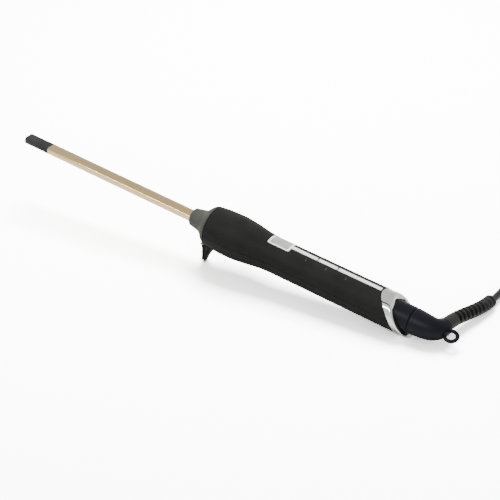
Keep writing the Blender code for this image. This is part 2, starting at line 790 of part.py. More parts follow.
def make_buttons(wand):
    """Each button is a bar with a flange that the shell holds down, and a stem over its switch."""
    half = BUTTON_LENGTH / 2
    side = STRIP_HALF_WIDTH
    flange_top = math.sqrt((GRIP_RADIUS - WALL) ** 2 - BUTTON_FLANGE_HALF_WIDTH**2) - GAP
    flange_low = flange_top - BUTTON_FLANGE_THICKNESS
    flange_half = half - 0.3 * MM
    stem_low = BOARD_TOP + GAP + SWITCH_HEIGHT + BUTTON_TRAVEL + 0.1 * MM
    for name, x in zip(BUTTON_NAMES, BUTTONS_X):
        top = curved_slab((-half, half), side, flange_low + 0.4 * MM, TRIM_RADIUS)
        button = piece(f"{name}_button", top, chrome(), wand, (x, 0, 0))
        wide = BUTTON_FLANGE_HALF_WIDTH
        join(button, block((-flange_half, flange_half), (-wide, wide), (flange_low, flange_top)))
        stem_side = 1.2 * MM
        stem_z = (stem_low, flange_low + 0.5 * MM)
        join(button, block((-stem_side, stem_side), (-stem_side, stem_side), stem_z))
        span = (x - SWITCH_SIDE / 2, x + SWITCH_SIDE / 2)
        switch_side = (-SWITCH_SIDE / 2, SWITCH_SIDE / 2)
        height = (BOARD_TOP + GAP, BOARD_TOP + GAP + SWITCH_HEIGHT)
        piece(f"{name}_switch", block(span, switch_side, height), part_black(), wand)


def make_board(wand):
    side = (-BOARD_HALF_WIDTH, BOARD_HALF_WIDTH)
    board = block(BOARD_X, side, (BOARD_BOTTOM, BOARD_TOP))
    piece("circuit_board", board, board_green(), wand)
    hang = BOARD_BOTTOM - GAP
    capacitor = block((62 * MM, 75 * MM), (-6.5 * MM, -1.0 * MM), (hang - 8.5 * MM, hang), 0.4 * MM)
    piece("film_capacitor", capacitor, board_green(), wand)
    triac = block((84 * MM, 90.5 * MM), (-4.0 * MM, 2.5 * MM), (hang - 2.3 * MM, hang))
    piece("triac", triac, part_black(), wand)
    processor = block((101 * MM, 107.5 * MM), (-3.2 * MM, 3.2 * MM), (hang - 1.7 * MM, hang))
    piece("processor", processor, part_black(), wand)
    low = hang - 1.9 * MM
    fuse = rod((61 * MM, 4.5 * MM, low), (69 * MM, 4.5 * MM, low), 1.8 * MM, sides=12)
    piece("thermal_fuse", fuse, aluminium(), wand)


# ---------------------------------------------------------------- end ring and swivel


def make_end_ring(wand):
    sections = []
    outer = GRIP_RADIUS
    for i in range(SIDES):
        turn = 2 * math.pi * i / SIDES
        y, z = math.cos(turn), math.sin(turn)
        profile = (
            (RING_SPIGOT_X, RING_BORE),
            (RING_SPIGOT_X, RING_SPIGOT_RADIUS),
            (ring_seat(RING_SPIGOT_RADIUS * z), RING_SPIGOT_RADIUS),
            (ring_seat(outer * z), outer),
            (ring_back(outer * z) - RING_EDGE, outer),
            (ring_back((outer - 0.3 * RING_EDGE) * z) - 0.3 * RING_EDGE, outer - 0.3 * RING_EDGE),
            (ring_back((outer - RING_EDGE) * z), outer - RING_EDGE),
            (ring_back(RING_BORE * z), RING_BORE),
        )
        sections.append([Vector((x, r * y, r * z)) for x, r in profile])
    piece("end_ring", lofted(sections, wrap=True), chrome(), wand)


def make_rear_cap(wand):
    bore = SPINDLE_RADIUS + RUNNING_GAP
    inner = CAP_RADIUS - CAP_WALL
    end_inside = SEAM_X - CAP_END
    outline = [
        (SEAM_X - CAP_LENGTH, inner),
        (SEAM_X - CAP_LENGTH, CAP_RADIUS),
        (SEAM_X - 0.4 * MM, CAP_RADIUS),
        (SEAM_X, CAP_RADIUS - 0.4 * MM),
        (SEAM_X, bore),
        (end_inside, bore),
        (end_inside, inner),
    ]
    piece("rear_cap", turned(outline), navy(), wand)

    reach = SPINDLE_RADIUS + GAP + SLIP_RING_THICKNESS + GAP
    for i, (start, side) in enumerate(zip(SLIP_RING_X, (1, -1)), 1):
        x = (SEAM_X + start, SEAM_X + start + SLIP_RING_LENGTH)
        y = sorted((side * reach, side * (inner - 2 * GAP)))
        piece(f"contact_brush_{i}", block(x, y, (-1.2 * MM, 1.2 * MM)), brass(), wand)
        route = [
            (BOARD_X[1] - 4 * MM, side * 6.6 * MM, BOARD_BOTTOM - LEAD_RADIUS - GAP),
            (SCREW_X[1], side * 6.6 * MM, 2.0 * MM),
            (SEAM_X - CAP_LENGTH - 6 * MM, side * 6.9 * MM, 0.8 * MM),
            (SEAM_X - CAP_LENGTH + 2 * MM, side * (reach + inner) / 2, 0.0),
            (x[0] - GAP, side * (reach + inner) / 2, 0.0),
        ]
        look = rubber()
        cable(f"mains_lead_{i}", smooth_route(route, 5 * MM), LEAD_RADIUS, look, wand, resolution=1)


def make_spindle(swivel):
    clip = (-CAP_END - GAP - 0.8 * MM, -CAP_END - GAP)
    groove = SPINDLE_RADIUS - 0.7 * MM
    flange = CAP_RADIUS - HOUSING_WALL - 0.7 * MM
    outline = [
        (-SPINDLE_LENGTH, SPINDLE_BORE),
        (-SPINDLE_LENGTH, SPINDLE_RADIUS),
        (clip[0] - GAP, SPINDLE_RADIUS),
        (clip[0] - GAP, groove),
        (clip[1] + GAP, groove),
        (clip[1] + GAP, SPINDLE_RADIUS),
        (GAP, SPINDLE_RADIUS),
        (GAP, flange),
        (GAP + 2.4 * MM, flange),
        (GAP + 2.4 * MM, SPINDLE_BORE),
    ]
    piece("swivel_spindle", turned(outline, 32), navy(), swivel)
    washer = [(clip[0], groove + GAP), (clip[0], 7.4 * MM), (clip[1], 7.4 * MM)]
    washer.append((clip[1], groove + GAP))
    piece("spindle_clip", turned(washer, 24), steel(), swivel)
    inner = SPINDLE_RADIUS + GAP
    outer = inner + SLIP_RING_THICKNESS
    for i, start in enumerate(SLIP_RING_X, 1):
        end = start + SLIP_RING_LENGTH
        ring = turned([(start, inner), (start, outer), (end, outer), (end, inner)], 32)
        piece(f"slip_ring_{i}", ring, brass(), swivel)


HOUSING_PATH = [Vector(p) * MM for p in ((0.3, 0, 0), (10.5, 0, 0), (21.5, -1.8, 0), (21.8, 9.8, 0))]


def housing_radius(t):
    """The housing's outer radius from the seam (0) to its mouth (1)."""
    mouth = RELIEF_ROOT_RADIUS + GAP + MOUTH_WALL
    return CAP_RADIUS + (mouth - CAP_RADIUS) * t**1.7


def make_housing(swivel):
    steps, sides = 12, 28
    outer, inner = [], []
    for i in range(steps + 1):
        t = i / steps
        place, along = bezier(HOUSING_PATH, t)
        radius = housing_radius(t)
        wall = HOUSING_WALL + (MOUTH_WALL - HOUSING_WALL) * t
        outer.append(round_section(place, along, radius, sides))
        inner.append(round_section(place, along, radius - wall, sides))
    shell = piece("swivel_housing", lofted(outer + inner[::-1], wrap=True), navy(), swivel)
    low = LOOP_CENTRE - LOOP_HEIGHT / 2 * LOOP_AXIS
    high = LOOP_CENTRE + LOOP_HEIGHT / 2 * LOOP_AXIS
    join(shell, rod(low, high, LOOP_RADIUS, sides=24))
    hole = rod(low - 1 * MM * LOOP_AXIS, high + 1 * MM * LOOP_AXIS, LOOP_HOLE_RADIUS, sides=20)
    cut(shell, hole)


def relief_path():
    """The strain relief's curve, from inside the mouth to an end that points straight away from the axis."""
    mouth, along = bezier(HOUSING_PATH, 1.0)
    start = mouth - 2.4 * MM * along
    end = Vector((33.2, 66.5, -4.8)) * MM
    away = Vector((0.0, end.y, end.z)).normalized()
    return [start, start + 20 * MM * along, end - 20 * MM * away, end]


def make_strain_relief(swivel):
    path = relief_path()
    fine = [bezier(path, i / 200)[0] for i in range(201)]
    reach = [0.0]
    for a, b in zip(fine, fine[1:]):
        reach.append(reach[-1] + (b - a).length)
    total = reach[-1]
    first = total - RELIEF_GROOVES * RELIEF_PITCH - 0.6 * MM
    stations = [(0.0, 0.0), (first - 4 * MM, 0.0)]
    for i in range(RELIEF_GROOVES):
        start = first + i * RELIEF_PITCH
        for step, depth in ((0.0, 0), (0.3, 1), (0.7, 1), (1.0, 0)):
            offset = start + step * RELIEF_GROOVE_WIDTH
            stations.append((offset, depth * RELIEF_GROOVE_DEPTH))
    stations += [(total - 0.8 * MM, 0.0), (total, 0.7 * MM)]
    sections = []
    for at, depth in stations:
        nearest = min(range(201), key=lambda i: abs(reach[i] - at))
        share = nearest / 200
        place, along = bezier(path, share)
        taper = RELIEF_ROOT_RADIUS + (RELIEF_END_RADIUS - RELIEF_ROOT_RADIUS) * at / total
        sections.append(round_section(place, along, taper - depth, 14))
    piece("strain_relief", lofted(sections), rubber(), swivel)


# ---------------------------------------------------------------- cord


def make_cord():
    spacing = 2.2 * 2 * CORD_RADIUS
    run = smooth_route([Vector(p) * MM for p in CORD_ROUTE], spacing)
    cable("cord_run", run, CORD_RADIUS, rubber())
    tail = smooth_route([Vector(p) * MM for p in TAIL_ROUTE], spacing)
    cable("cord_tail", tail, CORD_RADIUS, rubber())

    half = COIL_TURNS_WIDE * CORD_RADIUS
    inner, outer = COIL_MIDDLE_RADIUS - half, COIL_MIDDLE_RADIUS + half
    low = TIE_THICKNESS + GAP
    high = low + COIL_TURNS_HIGH * 2 * CORD_RADIUS
    edge = CORD_RADIUS / 2
    outline = [
        (low, inner + edge),
        (low, outer - edge),
        (low + edge, outer),
        (high - edge, outer),
        (high, outer - edge),
        (high, inner + edge),
        (high - edge, inner),
        (low + edge, inner),
    ]
    coil = turned(outline, 36)
    bmesh.ops.rotate(coil, verts=coil.verts, matrix=Matrix.Rotation(-math.pi / 2, 3, "Y"))
    piece("cord_coil", coil, rubber(), None, COIL_CENTRE)

    width = TIE_WIDTH / 2
    near = math.sqrt(inner**2 - width**2) - GAP
    far = outer + GAP
    top, bottom = high + GAP, low - GAP
    t = TIE_THICKNESS - 0.01 * MM
    rim = [(near, top), (far, top), (far, bottom), (near, bottom)]
    around = [(near - t, top + t), (far + t, top + t), (far + t, bottom - t), (near - t, bottom - t)]
    sections = [
        [Vector((x, side, z)) for x, z in loop]
        for loop, side in ((around, -width), (around, width), (rim, width), (rim, -width))
    ]
    piece("coil_tie", lofted(sections, wrap=True), rubber(), None, COIL_CENTRE)


def make_plug():
    centre = PLUG_THICKNESS / 2 + 0.1 * MM
    front = PLUG_GUARD_Y[1] + GAP + PLUG_LENGTH
    back = PLUG_GUARD_Y[1] + GAP
    outline = [
        (-PLUG_NECK_WIDTH / 2, back),
        (PLUG_NECK_WIDTH / 2, back),
        (PLUG_WIDTH / 2, back + 0.4 * PLUG_LENGTH),
        (PLUG_WIDTH / 2, front),
        (-PLUG_WIDTH / 2, front),
        (-PLUG_WIDTH / 2, back + 0.4 * PLUG_LENGTH),
    ]
    half = PLUG_THICKNESS / 2
    body = lofted([[Vector((x, y, z)) for x, y in outline] for z in (centre - half, centre + half)])
    bmesh.ops.bevel(body, geom=body.edges[:], offset=1.5 * MM, segments=2, affect="EDGES")
    piece("plug_body", body, rubber(), None, (PLUG_X, 0, 0))
    for i, side in enumerate((-1, 1), 1):
        x = side * PIN_SPACING / 2
        pin = rod((x, front + GAP, centre), (x, front + GAP + PIN_LENGTH, centre), PIN_RADIUS)
        piece(f"plug_pin_{i}", pin, brass(), None, (PLUG_X, 0, 0))

    sections = []
    start, end = PLUG_GUARD_Y
    grooves = 4
    pitch = (end - start) / (grooves + 1)
    stations = [(start, 0.0)]
    for i in range(grooves):
        rib = start + (i + 0.6) * pitch
        stations += [(rib, 0), (rib + 0.4 * MM, 0.9), (rib + 1.2 * MM, 0.9), (rib + 1.6 * MM, 0)]
    stations.append((end, 0.0))
    for y, depth in stations:
        radius = (4.3 + 1.5 * (y - start) / (end - start) - depth) * MM
        turns = [2 * math.pi * i / 14 for i in range(14)]
        ring = [(radius * math.cos(t), y, centre + radius * math.sin(t)) for t in turns]
        sections.append([Vector(p) for p in ring])
    piece("plug_guard", lofted(sections), rubber(), None, (PLUG_X, 0, 0))


def main():
    for old in list(bpy.data.objects):
        bpy.data.objects.remove(old)
    wand = empty("wand", location=(WAND_X, 0, AXIS_HEIGHT), turn=PITCH)
    swivel = empty("swivel_axis", wand, (SEAM_X, 0, 0))
    make_barrel(wand)
    make_heater_leads(wand)
    make_nose_collar(wand)
    make_barrel_holder(wand)
    make_upper_shell(wand)
    make_lower_shell(wand)
    make_screws(wand)
    make_display(wand)
    make_strip_trim(wand)
    make_buttons(wand)
    make_board(wand)
    make_end_ring(wand)
    make_rear_cap(wand)
    make_spindle(swivel)
    make_housing(swivel)
    make_strain_relief(swivel)
    make_cord()
    make_plug()


main()
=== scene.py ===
import json
import math

import bmesh
import bpy
from mathutils import Matrix, Vector


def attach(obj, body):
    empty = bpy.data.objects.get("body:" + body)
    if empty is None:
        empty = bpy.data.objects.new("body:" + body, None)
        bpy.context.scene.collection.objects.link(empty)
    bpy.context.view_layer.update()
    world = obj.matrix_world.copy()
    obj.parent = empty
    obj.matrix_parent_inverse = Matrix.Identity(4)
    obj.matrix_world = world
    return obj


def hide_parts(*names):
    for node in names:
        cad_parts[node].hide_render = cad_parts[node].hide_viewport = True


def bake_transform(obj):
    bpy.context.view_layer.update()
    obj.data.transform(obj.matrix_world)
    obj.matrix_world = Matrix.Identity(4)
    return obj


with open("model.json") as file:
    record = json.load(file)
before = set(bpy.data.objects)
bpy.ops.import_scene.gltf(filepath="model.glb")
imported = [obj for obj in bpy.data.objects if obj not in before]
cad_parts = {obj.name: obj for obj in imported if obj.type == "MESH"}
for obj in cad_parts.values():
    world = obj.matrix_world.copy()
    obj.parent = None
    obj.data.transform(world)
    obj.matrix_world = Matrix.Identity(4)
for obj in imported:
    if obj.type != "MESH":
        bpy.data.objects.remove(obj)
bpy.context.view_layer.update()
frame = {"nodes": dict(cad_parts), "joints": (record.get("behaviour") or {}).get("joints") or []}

MM = 0.001
# sizes in mm, in the wand's own frame, or on the table for the cord and its coil
SEAM_X = 177.9  # along the wand, where the cord's swivel turns
BARREL_Y, BARREL_Z = (-5.05, 5.05), (-3.05, 3.05)
BARREL_CORNER = 2.0
NECK_RADIUS = 9.3  # where the foot leaves the collar
FLANGE_RADIUS = 16.2
FOOT_DEPTH = 36.0
GRIP_RADIUS = 14.0
STRIP_HALF_WIDTH = 1.7
STRIP_TOP = 14.35  # how high the frame, the buttons and the trim stand
FIRST_BUTTON_X, BUTTON_PITCH = 85.5, 17.5
CORD_RADIUS = 2.8
CORD_LEVEL = 2.85  # height of the cord's centre where it lies on the table
COIL_CENTRE = (285.0, 62.0)
PLUG_X, PLUG_LEVEL = 337.0, 6.95

# The wand is modelled lying along +X, tip at -X, with its axis on X and the display on top. The swivel's
# joint says where that lies once the wand stands on its foot.
swivel_joint = next(j for j in frame["joints"] if j["name"] == "cord_swivel")
swivel_axis = Vector(swivel_joint["axis"])
PITCH = math.atan2(-swivel_axis.z, swivel_axis.x)
WAND = (
    Matrix.Translation(swivel_joint["pos_m"])
    @ Matrix.Rotation(PITCH, 4, "Y")
    @ Matrix.Translation((-SEAM_X * MM, 0, 0))
)


# ---------------------------------------------------------------- camera


def aim_camera():
    azimuth, elevation, distance = math.radians(33.36), math.radians(32.66), 1.1508
    target = Vector((0.00022, 0.03247, 0.0))
    level = math.cos(elevation)
    away = Vector((math.sin(azimuth) * level, -math.cos(azimuth) * level, math.sin(elevation)))
    bpy.ops.object.camera_add(location=target + distance * away)
    camera = bpy.context.object
    camera.rotation_euler = away.to_track_quat("Z", "Y").to_euler()
    camera.data.lens = 102.4
    camera.data.sensor_width = 36.0
    camera.data.clip_end = 20.0
    bpy.context.scene.camera = camera


aim_camera()


# ---------------------------------------------------------------- finishes


def hex_colour(code):
    """A colour written as sRGB hex, in linear light."""
    parts = [int(code[i : i + 2], 16) / 255 for i in (1, 3, 5)]
    linear = [p / 12.92 if p <= 0.04045 else ((p + 0.055) / 1.055) ** 2.4 for p in parts]
    return (*linear, 1.0)


def add(tree, kind, settings, *links):
    """Adds a node, sets its inputs or its own options, and links its inputs to other nodes' outputs."""
    made = tree.nodes.new(kind)
    for key, value in settings.items():
        if isinstance(key, int) or key in made.inputs:
            made.inputs[key].default_value = value
        else:
            setattr(made, key, value)
    for key, source in links:
        tree.links.new(source, made.inputs[key])
    return made


def new_finish(name, settings):
    """A Principled material with its settings, and Object coordinates turned level with the wand."""
    made = bpy.data.materials.new(name)
    made.use_nodes = True
    tree = made.node_tree
    shader = tree.nodes["Principled BSDF"]
    for key, value in settings.items():
        shader.inputs[key].default_value = value
    place = add(tree, "ShaderNodeTexCoord", {})
    along = add(
        tree,
        "ShaderNodeMapping",
        {"Rotation": (0.0, -PITCH, 0.0)},
        ("Vector", place.outputs["Object"]),
    )
    return made, tree, shader, along.outputs["Vector"]


def set_ramp(ramp, stops):
    """Gives a colour ramp its stops: (place, colour) pairs."""
    elements = ramp.color_ramp.elements
    while len(elements) < len(stops):
        elements.new(0.5)
    for element, (place, colour) in zip(elements, stops):
        element.position = place
        element.color = colour


def noise(tree, along, scale, **settings):
    return add(tree, "ShaderNodeTexNoise", {"Scale": scale, **settings}, ("Vector", along)).outputs["Fac"]


def tint(tree, shader, pattern, stops):
    """Colours the surface by a pattern."""
    ramp = add(tree, "ShaderNodeValToRGB", {}, ("Fac", pattern))
    set_ramp(ramp, stops)
    tree.links.new(ramp.outputs["Color"], shader.inputs["Base Color"])


def vary_roughness(tree, shader, pattern, low, high):
    rough = add(tree, "ShaderNodeMapRange", {"To Min": low, "To Max": high}, ("Value", pattern))
    tree.links.new(rough.outputs["Result"], shader.inputs["Roughness"])


def raise_grain(tree, shader, pattern, strength, depth):
    bump = add(tree, "ShaderNodeBump", {"Strength": strength, "Distance": depth}, ("Height", pattern))
    tree.links.new(bump.outputs["Normal"], shader.inputs["Normal"])


def brushed_champagne_aluminium():
    # Anodised and brushed lengthwise: a pale gold metal with fine streaks that stretch its highlights across
    made, tree, shader, along = new_finish(
        "brushed_champagne_aluminium",
        {"Metallic": 1.0, "Roughness": 0.22, "Base Color": hex_colour("#e0c190")},
    )
    # real brush lines are about 0.1 mm apart; they are drawn 0.45 mm apart so that they show
    stretch = add(tree, "ShaderNodeMapping", {"Scale": (28.0, 2200.0, 2200.0)}, ("Vector", along))
    streaks = noise(tree, stretch.outputs["Vector"], 1.0, Detail=4.0, Roughness=0.65)
    tint(tree, shader, streaks, [(0.25, hex_colour("#d0b080")), (0.75, hex_colour("#efd09e"))])
    vary_roughness(tree, shader, streaks, 0.15, 0.27)
    raise_grain(tree, shader, streaks, 0.25, 0.00004)
    return made


def moulded_plastic(name, low, high, roughness, grain_mm, depth_mm, gloss):
    # Injection-moulded plastic with a spark-eroded grain: a soft broken sheen, and a faint mottle of tone
    made, tree, shader, along = new_finish(
        name,
        {"Roughness": roughness, "Specular IOR Level": gloss, "Base Color": high},
    )
    grain = noise(tree, along, 1.0 / (grain_mm * MM), Detail=3.0, Roughness=0.6)
    cloud = noise(tree, along, 1.0 / (14 * MM), Detail=2.0, Roughness=0.5)
    tint(tree, shader, cloud, [(0.3, low), (0.7, high)])
    vary_roughness(tree, shader, cloud, roughness - 0.07, roughness + 0.07)
    raise_grain(tree, shader, grain, 0.35, depth_mm * MM)
    return made


def plated_metal(name, low, high, roughness, metal=1.0):
    # Plating, bare metal or, where it is only part metallic, a silver lacquer: a clear reflection with slow
    # changes of polish, as handling leaves it
    made, tree, shader, along = new_finish(
        name, {"Metallic": metal, "Roughness": roughness, "Base Color": high}
    )
    cloud = noise(tree, along, 1.0 / (6 * MM), Detail=3.0, Roughness=0.55)
    tint(tree, shader, cloud, [(0.3, low), (0.7, high)])
    vary_roughness(tree, shader, cloud, roughness * 0.8, roughness * 1.3)
    return made


def woven_strap():
    # Nylon hook-and-loop tape: a dull black with a fine nap
    made, tree, shader, along = new_finish(
        "woven_nylon_strap",
        {"Roughness": 0.9, "Sheen Weight": 0.3, "Base Color": hex_colour("#151516")},
    )
    nap = add(tree, "ShaderNodeTexVoronoi", {"Scale": 1.0 / (0.5 * MM)}, ("Vector", along))
    raise_grain(tree, shader, nap.outputs["Distance"], 0.6, 0.0002)
    return made


def display_glass():
    # Polished acrylic over an unlit liquid-crystal panel: pale grey, glossy, a little greener at the middle
    made, tree, shader, along = new_finish(
        "display_acrylic",
        {"Roughness": 0.08, "Coat Weight": 0.6, "Coat Roughness": 0.03, "Base Color": hex_colour("#8f918d")},
    )
    cloud = noise(tree, along, 1.0 / (9 * MM), Detail=1.0)
    tint(tree, shader, cloud, [(0.35, hex_colour("#85877f")), (0.65, hex_colour("#9c9e98"))])
    return made


GOLD = brushed_champagne_aluminium()
SOFT_BLACK = moulded_plastic(
    "soft_touch_coated_abs", hex_colour("#191918"), hex_colour("#20201f"), 0.6, 0.6, 0.02, 0.08
)
HEAT_GREY = moulded_plastic(
    "matt_heatproof_nylon", hex_colour("#383933"), hex_colour("#444640"), 0.62, 0.7, 0.05, 0.25
)
TIP_GREY = moulded_plastic(
    "tip_phenolic_plastic", hex_colour("#1d1f1f"), hex_colour("#272a29"), 0.5, 0.6, 0.04, 0.2
)
NAVY = moulded_plastic(
    "satin_navy_black_abs", hex_colour("#0c0c12"), hex_colour("#121219"), 0.42, 0.6, 0.02, 0.12
)
PVC = moulded_plastic(
    "black_pvc_sheath", hex_colour("#0e0e0e"), hex_colour("#161616"), 0.38, 0.9, 0.03, 0.3
)
RUBBER = moulded_plastic(
    "black_tpe_strain_relief", hex_colour("#161615"), hex_colour("#20201f"), 0.5, 0.7, 0.03, 0.3
)
SATIN = plated_metal(
    "satin_silver_lacquer", hex_colour("#fafaf9"), hex_colour("#ffffff"), 0.24, 0.25
)
CHROME = plated_metal("bright_chrome_plate", hex_colour("#dfe1de"), hex_colour("#f2f3f0"), 0.07)
STEEL = plated_metal("zinc_plated_steel", hex_colour("#9a9a98"), hex_colour("#b5b5b2"), 0.35)
BRASS = plated_metal("plain_brass", hex_colour("#b89550"), hex_colour("#d0ae68"), 0.28)
MILL = plated_metal("mill_finish_aluminium", hex_colour("#b4b6b8"), hex_colour("#cfd0d1"), 0.38)
CERAMIC = moulded_plastic(
    "fired_alumina", hex_colour("#d8d4c9"), hex_colour("#e8e5dc"), 0.55, 0.5, 0.03, 0.5
)
LAMINATE = moulded_plastic(
    "green_solder_mask", hex_colour("#10492a"), hex_colour("#1a5c36"), 0.35, 1.2, 0.02, 0.5
)
EPOXY = moulded_plastic(
    "moulded_epoxy", hex_colour("#1a1a1a"), hex_colour("#262626"), 0.45, 0.4, 0.03, 0.5
)
INK = moulded_plastic(
    "pale_grey_pad_print", hex_colour("#4a4a45"), hex_colour("#575751"), 0.6, 0.5, 0.01, 0.1
)
STRAP = woven_strap()
GLASS = display_glass()


# ---------------------------------------------------------------- modelling


def ready():
    """Object mode, with nothing selected."""
    if bpy.context.object and bpy.context.object.mode != "OBJECT":
        bpy.ops.object.mode_set(mode="OBJECT")
    bpy.ops.object.select_all(action="DESELECT")


def take(piece):
    """Selects one piece alone and makes it active."""
    ready()
    piece.select_set(True)
    bpy.context.view_layer.objects.active = piece


def choose(piece, kind, test):
    """In edit mode, selects only what passes a test: kind is VERT, EDGE or FACE."""
    bpy.ops.mesh.select_mode(type=kind)
    bpy.ops.mesh.select_all(action="DESELECT")
    shape = bmesh.from_edit_mesh(piece.data)
    group = {"VERT": shape.verts, "EDGE": shape.edges, "FACE": shape.faces}[kind]
    for item in group:
        if test(item):
            item.select_set(True)
    bmesh.update_edit_mesh(piece.data)


def box_piece(name, x, y, z):
    """A cube stretched to fill x, y and z, each a pair in mm, and left in edit mode."""
    ready()
    middle = [(a + b) / 2 * MM for a, b in (x, y, z)]
    bpy.ops.mesh.primitive_cube_add(size=1.0, location=middle)
    piece = bpy.context.object
    piece.name = name
    piece.scale = [(b - a) * MM for a, b in (x, y, z)]
    bpy.ops.object.transform_apply(location=True, rotation=True, scale=True)
    bpy.ops.object.mode_set(mode="EDIT")
    return piece


def close_up():
    """Turns all faces outwards and leaves edit mode."""
    bpy.ops.mesh.select_all(action="SELECT")
    bpy.ops.mesh.normals_make_consistent(inside=False)
    bpy.ops.object.mode_set(mode="OBJECT")


def along_x(edge):
    a, b = (v.co for v in edge.verts)
    return abs(a.x - b.x) > 0.99 * (a - b).length


def upright(edge):
    a, b = (v.co for v in edge.verts)
    return abs(a.z - b.z) > 0.99 * (a - b).length


def add_modifier(piece, kind, **settings):
    """Adds a modifier and applies it at once."""
    take(piece)
    modifier = piece.modifiers.new(kind.title(), kind)
    for key, value in settings.items():
        setattr(modifier, key, value)
    bpy.ops.object.modifier_apply(modifier=modifier.name)


def soften(piece, width, segments=3, angle=40):
    """Rounds the sharp edges."""
    add_modifier(
        piece,
        "BEVEL",
        width=width * MM,
        segments=segments,
        limit_method="ANGLE",
        angle_limit=math.radians(angle),
        use_clamp_overlap=True,
    )


def combine(piece, tool, operation):
    """Cuts the tool out of the piece, or joins it on, and removes the tool."""
    add_modifier(piece, "BOOLEAN", operation=operation, solver="EXACT", object=tool)
    bpy.data.objects.remove(tool)


def lathe(name, profile, sides=96, solid=False):
    """A piece turned about X: a circle is extruded and scaled along (x, radius) points, in mm."""
    ready()
    x, r = profile[0]
    bpy.ops.mesh.primitive_circle_add(
        vertices=sides,
        radius=r * MM,
        fill_type="NGON" if solid else "NOTHING",
        location=(x * MM, 0, 0),
        rotation=(0, math.pi / 2, 0),
    )
    piece = bpy.context.object
    piece.name = name
    bpy.ops.object.transform_apply(location=True, rotation=True, scale=True)
    bpy.ops.object.mode_set(mode="EDIT")
    bpy.ops.mesh.select_mode(type="VERT")
    bpy.ops.mesh.select_all(action="SELECT")
    goals = profile[1:] if solid else profile[1:] + profile[:1]
    for x1, r1 in goals:
        bpy.ops.mesh.extrude_region_move(TRANSFORM_OT_translate={"value": ((x1 - x) * MM, 0, 0)})
        bpy.ops.transform.resize(value=(1, r1 / r, r1 / r), center_override=(x1 * MM, 0, 0))
        x, r = x1, r1
    bpy.ops.mesh.select_all(action="SELECT")
    bpy.ops.mesh.remove_doubles(threshold=0.000002)
    bpy.ops.mesh.normals_make_consistent(inside=False)
    bpy.ops.object.mode_set(mode="OBJECT")
    return piece


def column(name, sections):
    """A post drawn down from a rounded plane through (z, x_front, x_back, half_width) sections, in mm."""
    ready()
    z, front, back, half = sections[0]
    bpy.ops.mesh.primitive_plane_add(size=1.0, location=((front + back) / 2 * MM, 0, z * MM))
    piece = bpy.context.object
    piece.name = name
    piece.scale = ((back - front) * MM, 2 * half * MM, 1)
    bpy.ops.object.transform_apply(location=True, rotation=True, scale=True)
    bpy.ops.object.mode_set(mode="EDIT")
    bpy.ops.mesh.select_mode(type="VERT")
    bpy.ops.mesh.select_all(action="SELECT")
    corner = 0.45 * min(back - front, 2 * half)
    bpy.ops.mesh.bevel(offset=corner * MM, segments=6, affect="VERTICES")
    bpy.ops.mesh.select_all(action="SELECT")
    for z1, front1, back1, half1 in sections[1:]:
        shift = (front1 + back1 - front - back) / 2
        bpy.ops.mesh.extrude_region_move(
            TRANSFORM_OT_translate={"value": (shift * MM, 0, (z1 - z) * MM)}
        )
        bpy.ops.transform.resize(
            value=((back1 - front1) / (back - front), half1 / half, 1),
            center_override=((front1 + back1) / 2 * MM, 0, z1 * MM),
        )
        z, front, back, half = z1, front1, back1, half1
    close_up()
    return piece


def wrap_round(piece):
    """Bends a piece that was modelled flat, with z as its radius, round the handle's axis."""
    top = max(v.co.z for v in piece.data.vertices)
    for v in piece.data.vertices:
        turn = v.co.y / top
        v.co = (v.co.x, v.co.z * math.sin(turn), v.co.z * math.cos(turn))


def curved_block(name, x, half_width, inner, outer, corner=0.0, cuts=10):
    """A block that follows the handle's round top, with its upright corners rounded."""
    piece = box_piece(name, x, (-half_width, half_width), (inner, outer))
    if corner:
        choose(piece, "EDGE", upright)
        bpy.ops.mesh.bevel(offset=corner * MM, segments=4, affect="EDGES")
    for i in range(1, cuts):
        y = half_width * MM * (2 * i / cuts - 1)
        bpy.ops.mesh.select_all(action="SELECT")
        bpy.ops.mesh.bisect(plane_co=(0, y, 0), plane_no=(0, 1, 0))
    bpy.ops.object.mode_set(mode="OBJECT")
    wrap_round(piece)
    return piece


def pipe(name, points, radii, sides):
    """A round bar along points, in metres, with a radius at each in mm: a bevelled curve made a mesh."""
    ready()
    data = bpy.data.curves.new(name, "CURVE")
    data.dimensions = "3D"
    data.bevel_depth = MM
    data.bevel_resolution = (sides - 4) // 2
    data.use_fill_caps = True
    spline = data.splines.new("POLY")
    spline.points.add(len(points) - 1)
    for knot, place, radius in zip(spline.points, points, radii):
        knot.co = (*place, 1.0)
        knot.radius = radius
    piece = bpy.data.objects.new(name, data)
    bpy.context.collection.objects.link(piece)
    take(piece)
    bpy.ops.object.convert(target="MESH")
    piece = bpy.context.object
    bpy.ops.object.mode_set(mode="EDIT")
    bpy.ops.mesh.select_all(action="SELECT")
    bpy.ops.mesh.remove_doubles(threshold=0.000001)
    bpy.ops.mesh.normals_make_consistent(inside=False)
    bpy.ops.object.mode_set(mode="OBJECT")
    return piece


def complete(piece, finish, body, nodes=(), turned=True, angle=35):
    """Places a piece on the wand, gives it its finish, hangs it on the body it rides on, and hides the CAD
    nodes it stands for.
    """
    take(piece)
    if turned:
        piece.matrix_world = WAND @ piece.matrix_world
    bpy.ops.object.transform_apply(location=True, rotation=True, scale=True)
    bpy.ops.object.shade_smooth_by_angle(angle=math.radians(angle))
    piece.data.materials.clear()
    piece.data.materials.append(finish)
    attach(piece, body)
    if nodes:
        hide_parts(*nodes)
    return piece


